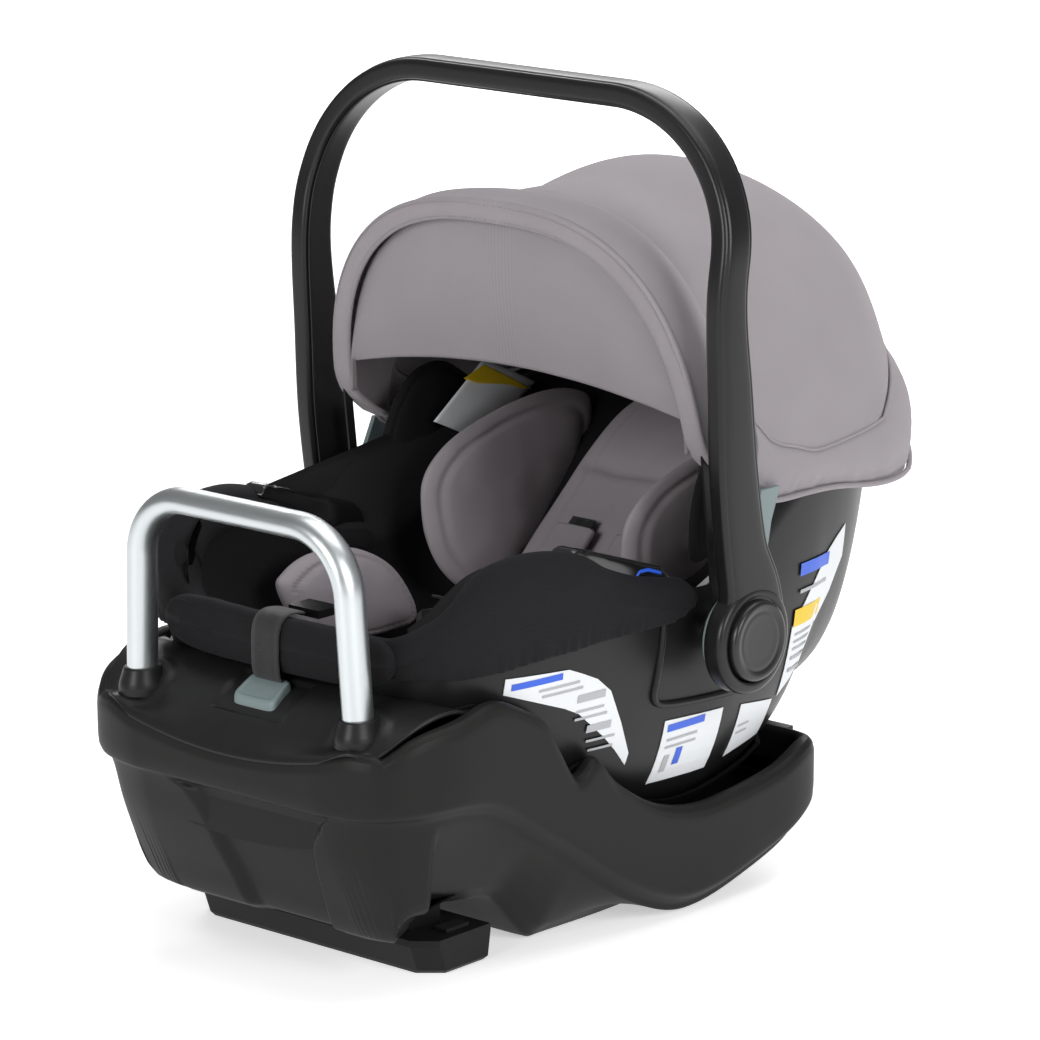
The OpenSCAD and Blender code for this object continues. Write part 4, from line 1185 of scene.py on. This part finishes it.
makePiece("beltGuides", beltGuide(), finishes["gloss"], "carrier", ["belt_guides"])
blueRoute = [(-89, 266), (-86, 272), (-82, 275), (-72, 274.5), (-58, 269.5)]
blueMark = thread(lambda t: (162.6, *alongLine(blueRoute, t)), 1.5, 8, 40)
makePiece("beltMarks", bothSides(blueMark), finishes["blue"], "carrier", ["belt_marks"])
print("soft parts done")


# printed panels on the shell: plain coloured bars only
def shellPatch(y0, y1, z0, z1, lift, side):
    def place(u, v):
        y, z = mix(y0, y1, u), mix(z0, z1, v)
        return (side * (tubSide(y, z) + lift), y, z)
    return gridSkin(14, 8, place, outside=(0, 0, 200))


marks = {  # plain bars and boxes: y from, y to, z from, z to
    "blue": [(-216, -168, 212, 217), (-48, -6, 146, 152), (104, 150, 236, 246), (-32, -25, 116, 130)],
    "yellow": [(101, 146, 196, 210)],
    "ink": [(-190, -150, 206, 208), (-186, -146, 201, 203), (-150, -122, 190, 196), (-150, -122, 182, 184),
            (-150, -118, 176, 178), (-136, -112, 164, 170), (-134, -106, 156, 158), (-130, -106, 148, 150),
            (-46, -12, 138, 140), (-46, -12, 132, 134), (-44, -38, 112, 126), (46, 62, 128, 130),
            (46, 62, 122, 124), (106, 150, 222, 225), (106, 146, 188, 190),
            (106, 142, 182, 184), (106, 140, 176, 178),
            (106, 136, 168, 171), (106, 130, 158, 161)]}
ribRoute = [(-62, 236), (-64, 215), (-68, 190), (-69, 178), (-60, 171), (-30, 167), (26, 163)]


def onShell(t):
    y, z = smoothPath(ribRoute, t)
    return (tubSide(y, z) + 0.6, y, z)


makePiece("shellRibs", bothSides(thread(onShell, 2.8, 12, 70)), finishes["shell"], "carrier", ["shell_ribs"])
for side, tag in ((1, "Right"), (-1, "Left")):
    for colour, bars in marks.items():
        panel = bmesh.new()
        for edges in bars:
            joinInto(panel, shellPatch(*edges, 1.25, side))
        makePiece(colour + "Marks" + tag, panel, finishes[colour], "carrier")


def hangTag(name, corners, x, finish, lift):
    def place(u, v):
        low, high = [[mix(p, q, u) for p, q in zip(corners[i], corners[j])] for i, j in ((0, 1), (3, 2))]
        y, z = mix(low[0], high[0], v), mix(low[1], high[1], v)
        return (x + lift + 3 * math.sin(u * 3), y, z)
    makePiece(name, gridSkin(16, 10, place, outside=(-400, 0, 300)), finishes[finish], "carrier",
              thick=0.6)


hangTag("hoodTag", [(22, 326), (74, 302), (142, 338), (80, 366)], -131, "paper", 0)
hangTag("hoodTagBand", [(56, 355), (66, 350), (136, 333), (80, 362)], -131, "yellow", 1.2)

# floor, light, camera
bm = bmesh.new()
bmesh.ops.create_grid(bm, x_segments=1, y_segments=1, size=30)
floorMesh = bpy.data.meshes.new("floor")
bm.to_mesh(floorMesh)
bm.free()
floor = bpy.data.objects.new("floor", floorMesh)
bpy.context.scene.collection.objects.link(floor)
floorPaint, _, floorShader = newMaterial("floorPaint")
floorShader.inputs["Base Color"].default_value = (0.85, 0.85, 0.85, 1)
floorShader.inputs["Emission Color"].default_value = (1, 1, 1, 1)
floorShader.inputs["Emission Strength"].default_value = 0.5
floorShader.inputs["Roughness"].default_value = 0.7
floorMesh.materials.append(floorPaint)


def softbox(name, place, target, size, watts, colour=(1, 1, 1)):
    lamp = bpy.data.lights.new(name, "AREA")
    lamp.shape = "RECTANGLE"
    lamp.size, lamp.size_y = size
    lamp.energy = watts
    lamp.color = colour
    box = bpy.data.objects.new(name, lamp)
    box.location = place
    box.rotation_euler = (Vector(target) - Vector(place)).to_track_quat("-Z", "Y").to_euler()
    bpy.context.scene.collection.objects.link(box)
    return box


aim = (0, 0, 0.3)
lights = [softbox("keyBox", (3.0, -0.6, 1.5), aim, (1.5, 1.5), 50),
          softbox("fillBox", (0.3, -3.3, 1.5), aim, (1.3, 1.3), 50),
          softbox("topBox", (0.2, 0.6, 2.8), aim, (2.4, 2.4), 40),
          softbox("floorBox", (-2.6, 3.6, 2.6), (-2.5, 3.4, 0), (3.0, 3.0), 150)]
world = bpy.data.worlds.new("studio")
bpy.context.scene.world = world
world.use_nodes = True
world.node_tree.nodes["Background"].inputs["Color"].default_value = (1, 1, 1, 1)
world.node_tree.nodes["Background"].inputs["Strength"].default_value = 0.24
bpy.context.scene.view_settings.view_transform = "Standard"
view = {"turn": 41.04, "rise": 13.72, "lens": 172.23, "sensor": 36, "place": (2.39281, -2.77546, 1.16704)}
turn, rise = math.radians(view["turn"]), math.radians(view["rise"])
towards = Vector((math.sin(turn) * math.cos(rise), -math.cos(turn) * math.cos(rise), math.sin(rise)))
lens = bpy.data.cameras.new("camera")
lens.lens, lens.sensor_width = view["lens"], view["sensor"]
camera = bpy.data.objects.new("camera", lens)
camera.location = view["place"]
camera.rotation_euler = (-towards).to_track_quat("-Z", "Y").to_euler()
bpy.context.scene.collection.objects.link(camera)
bpy.context.scene.camera = camera
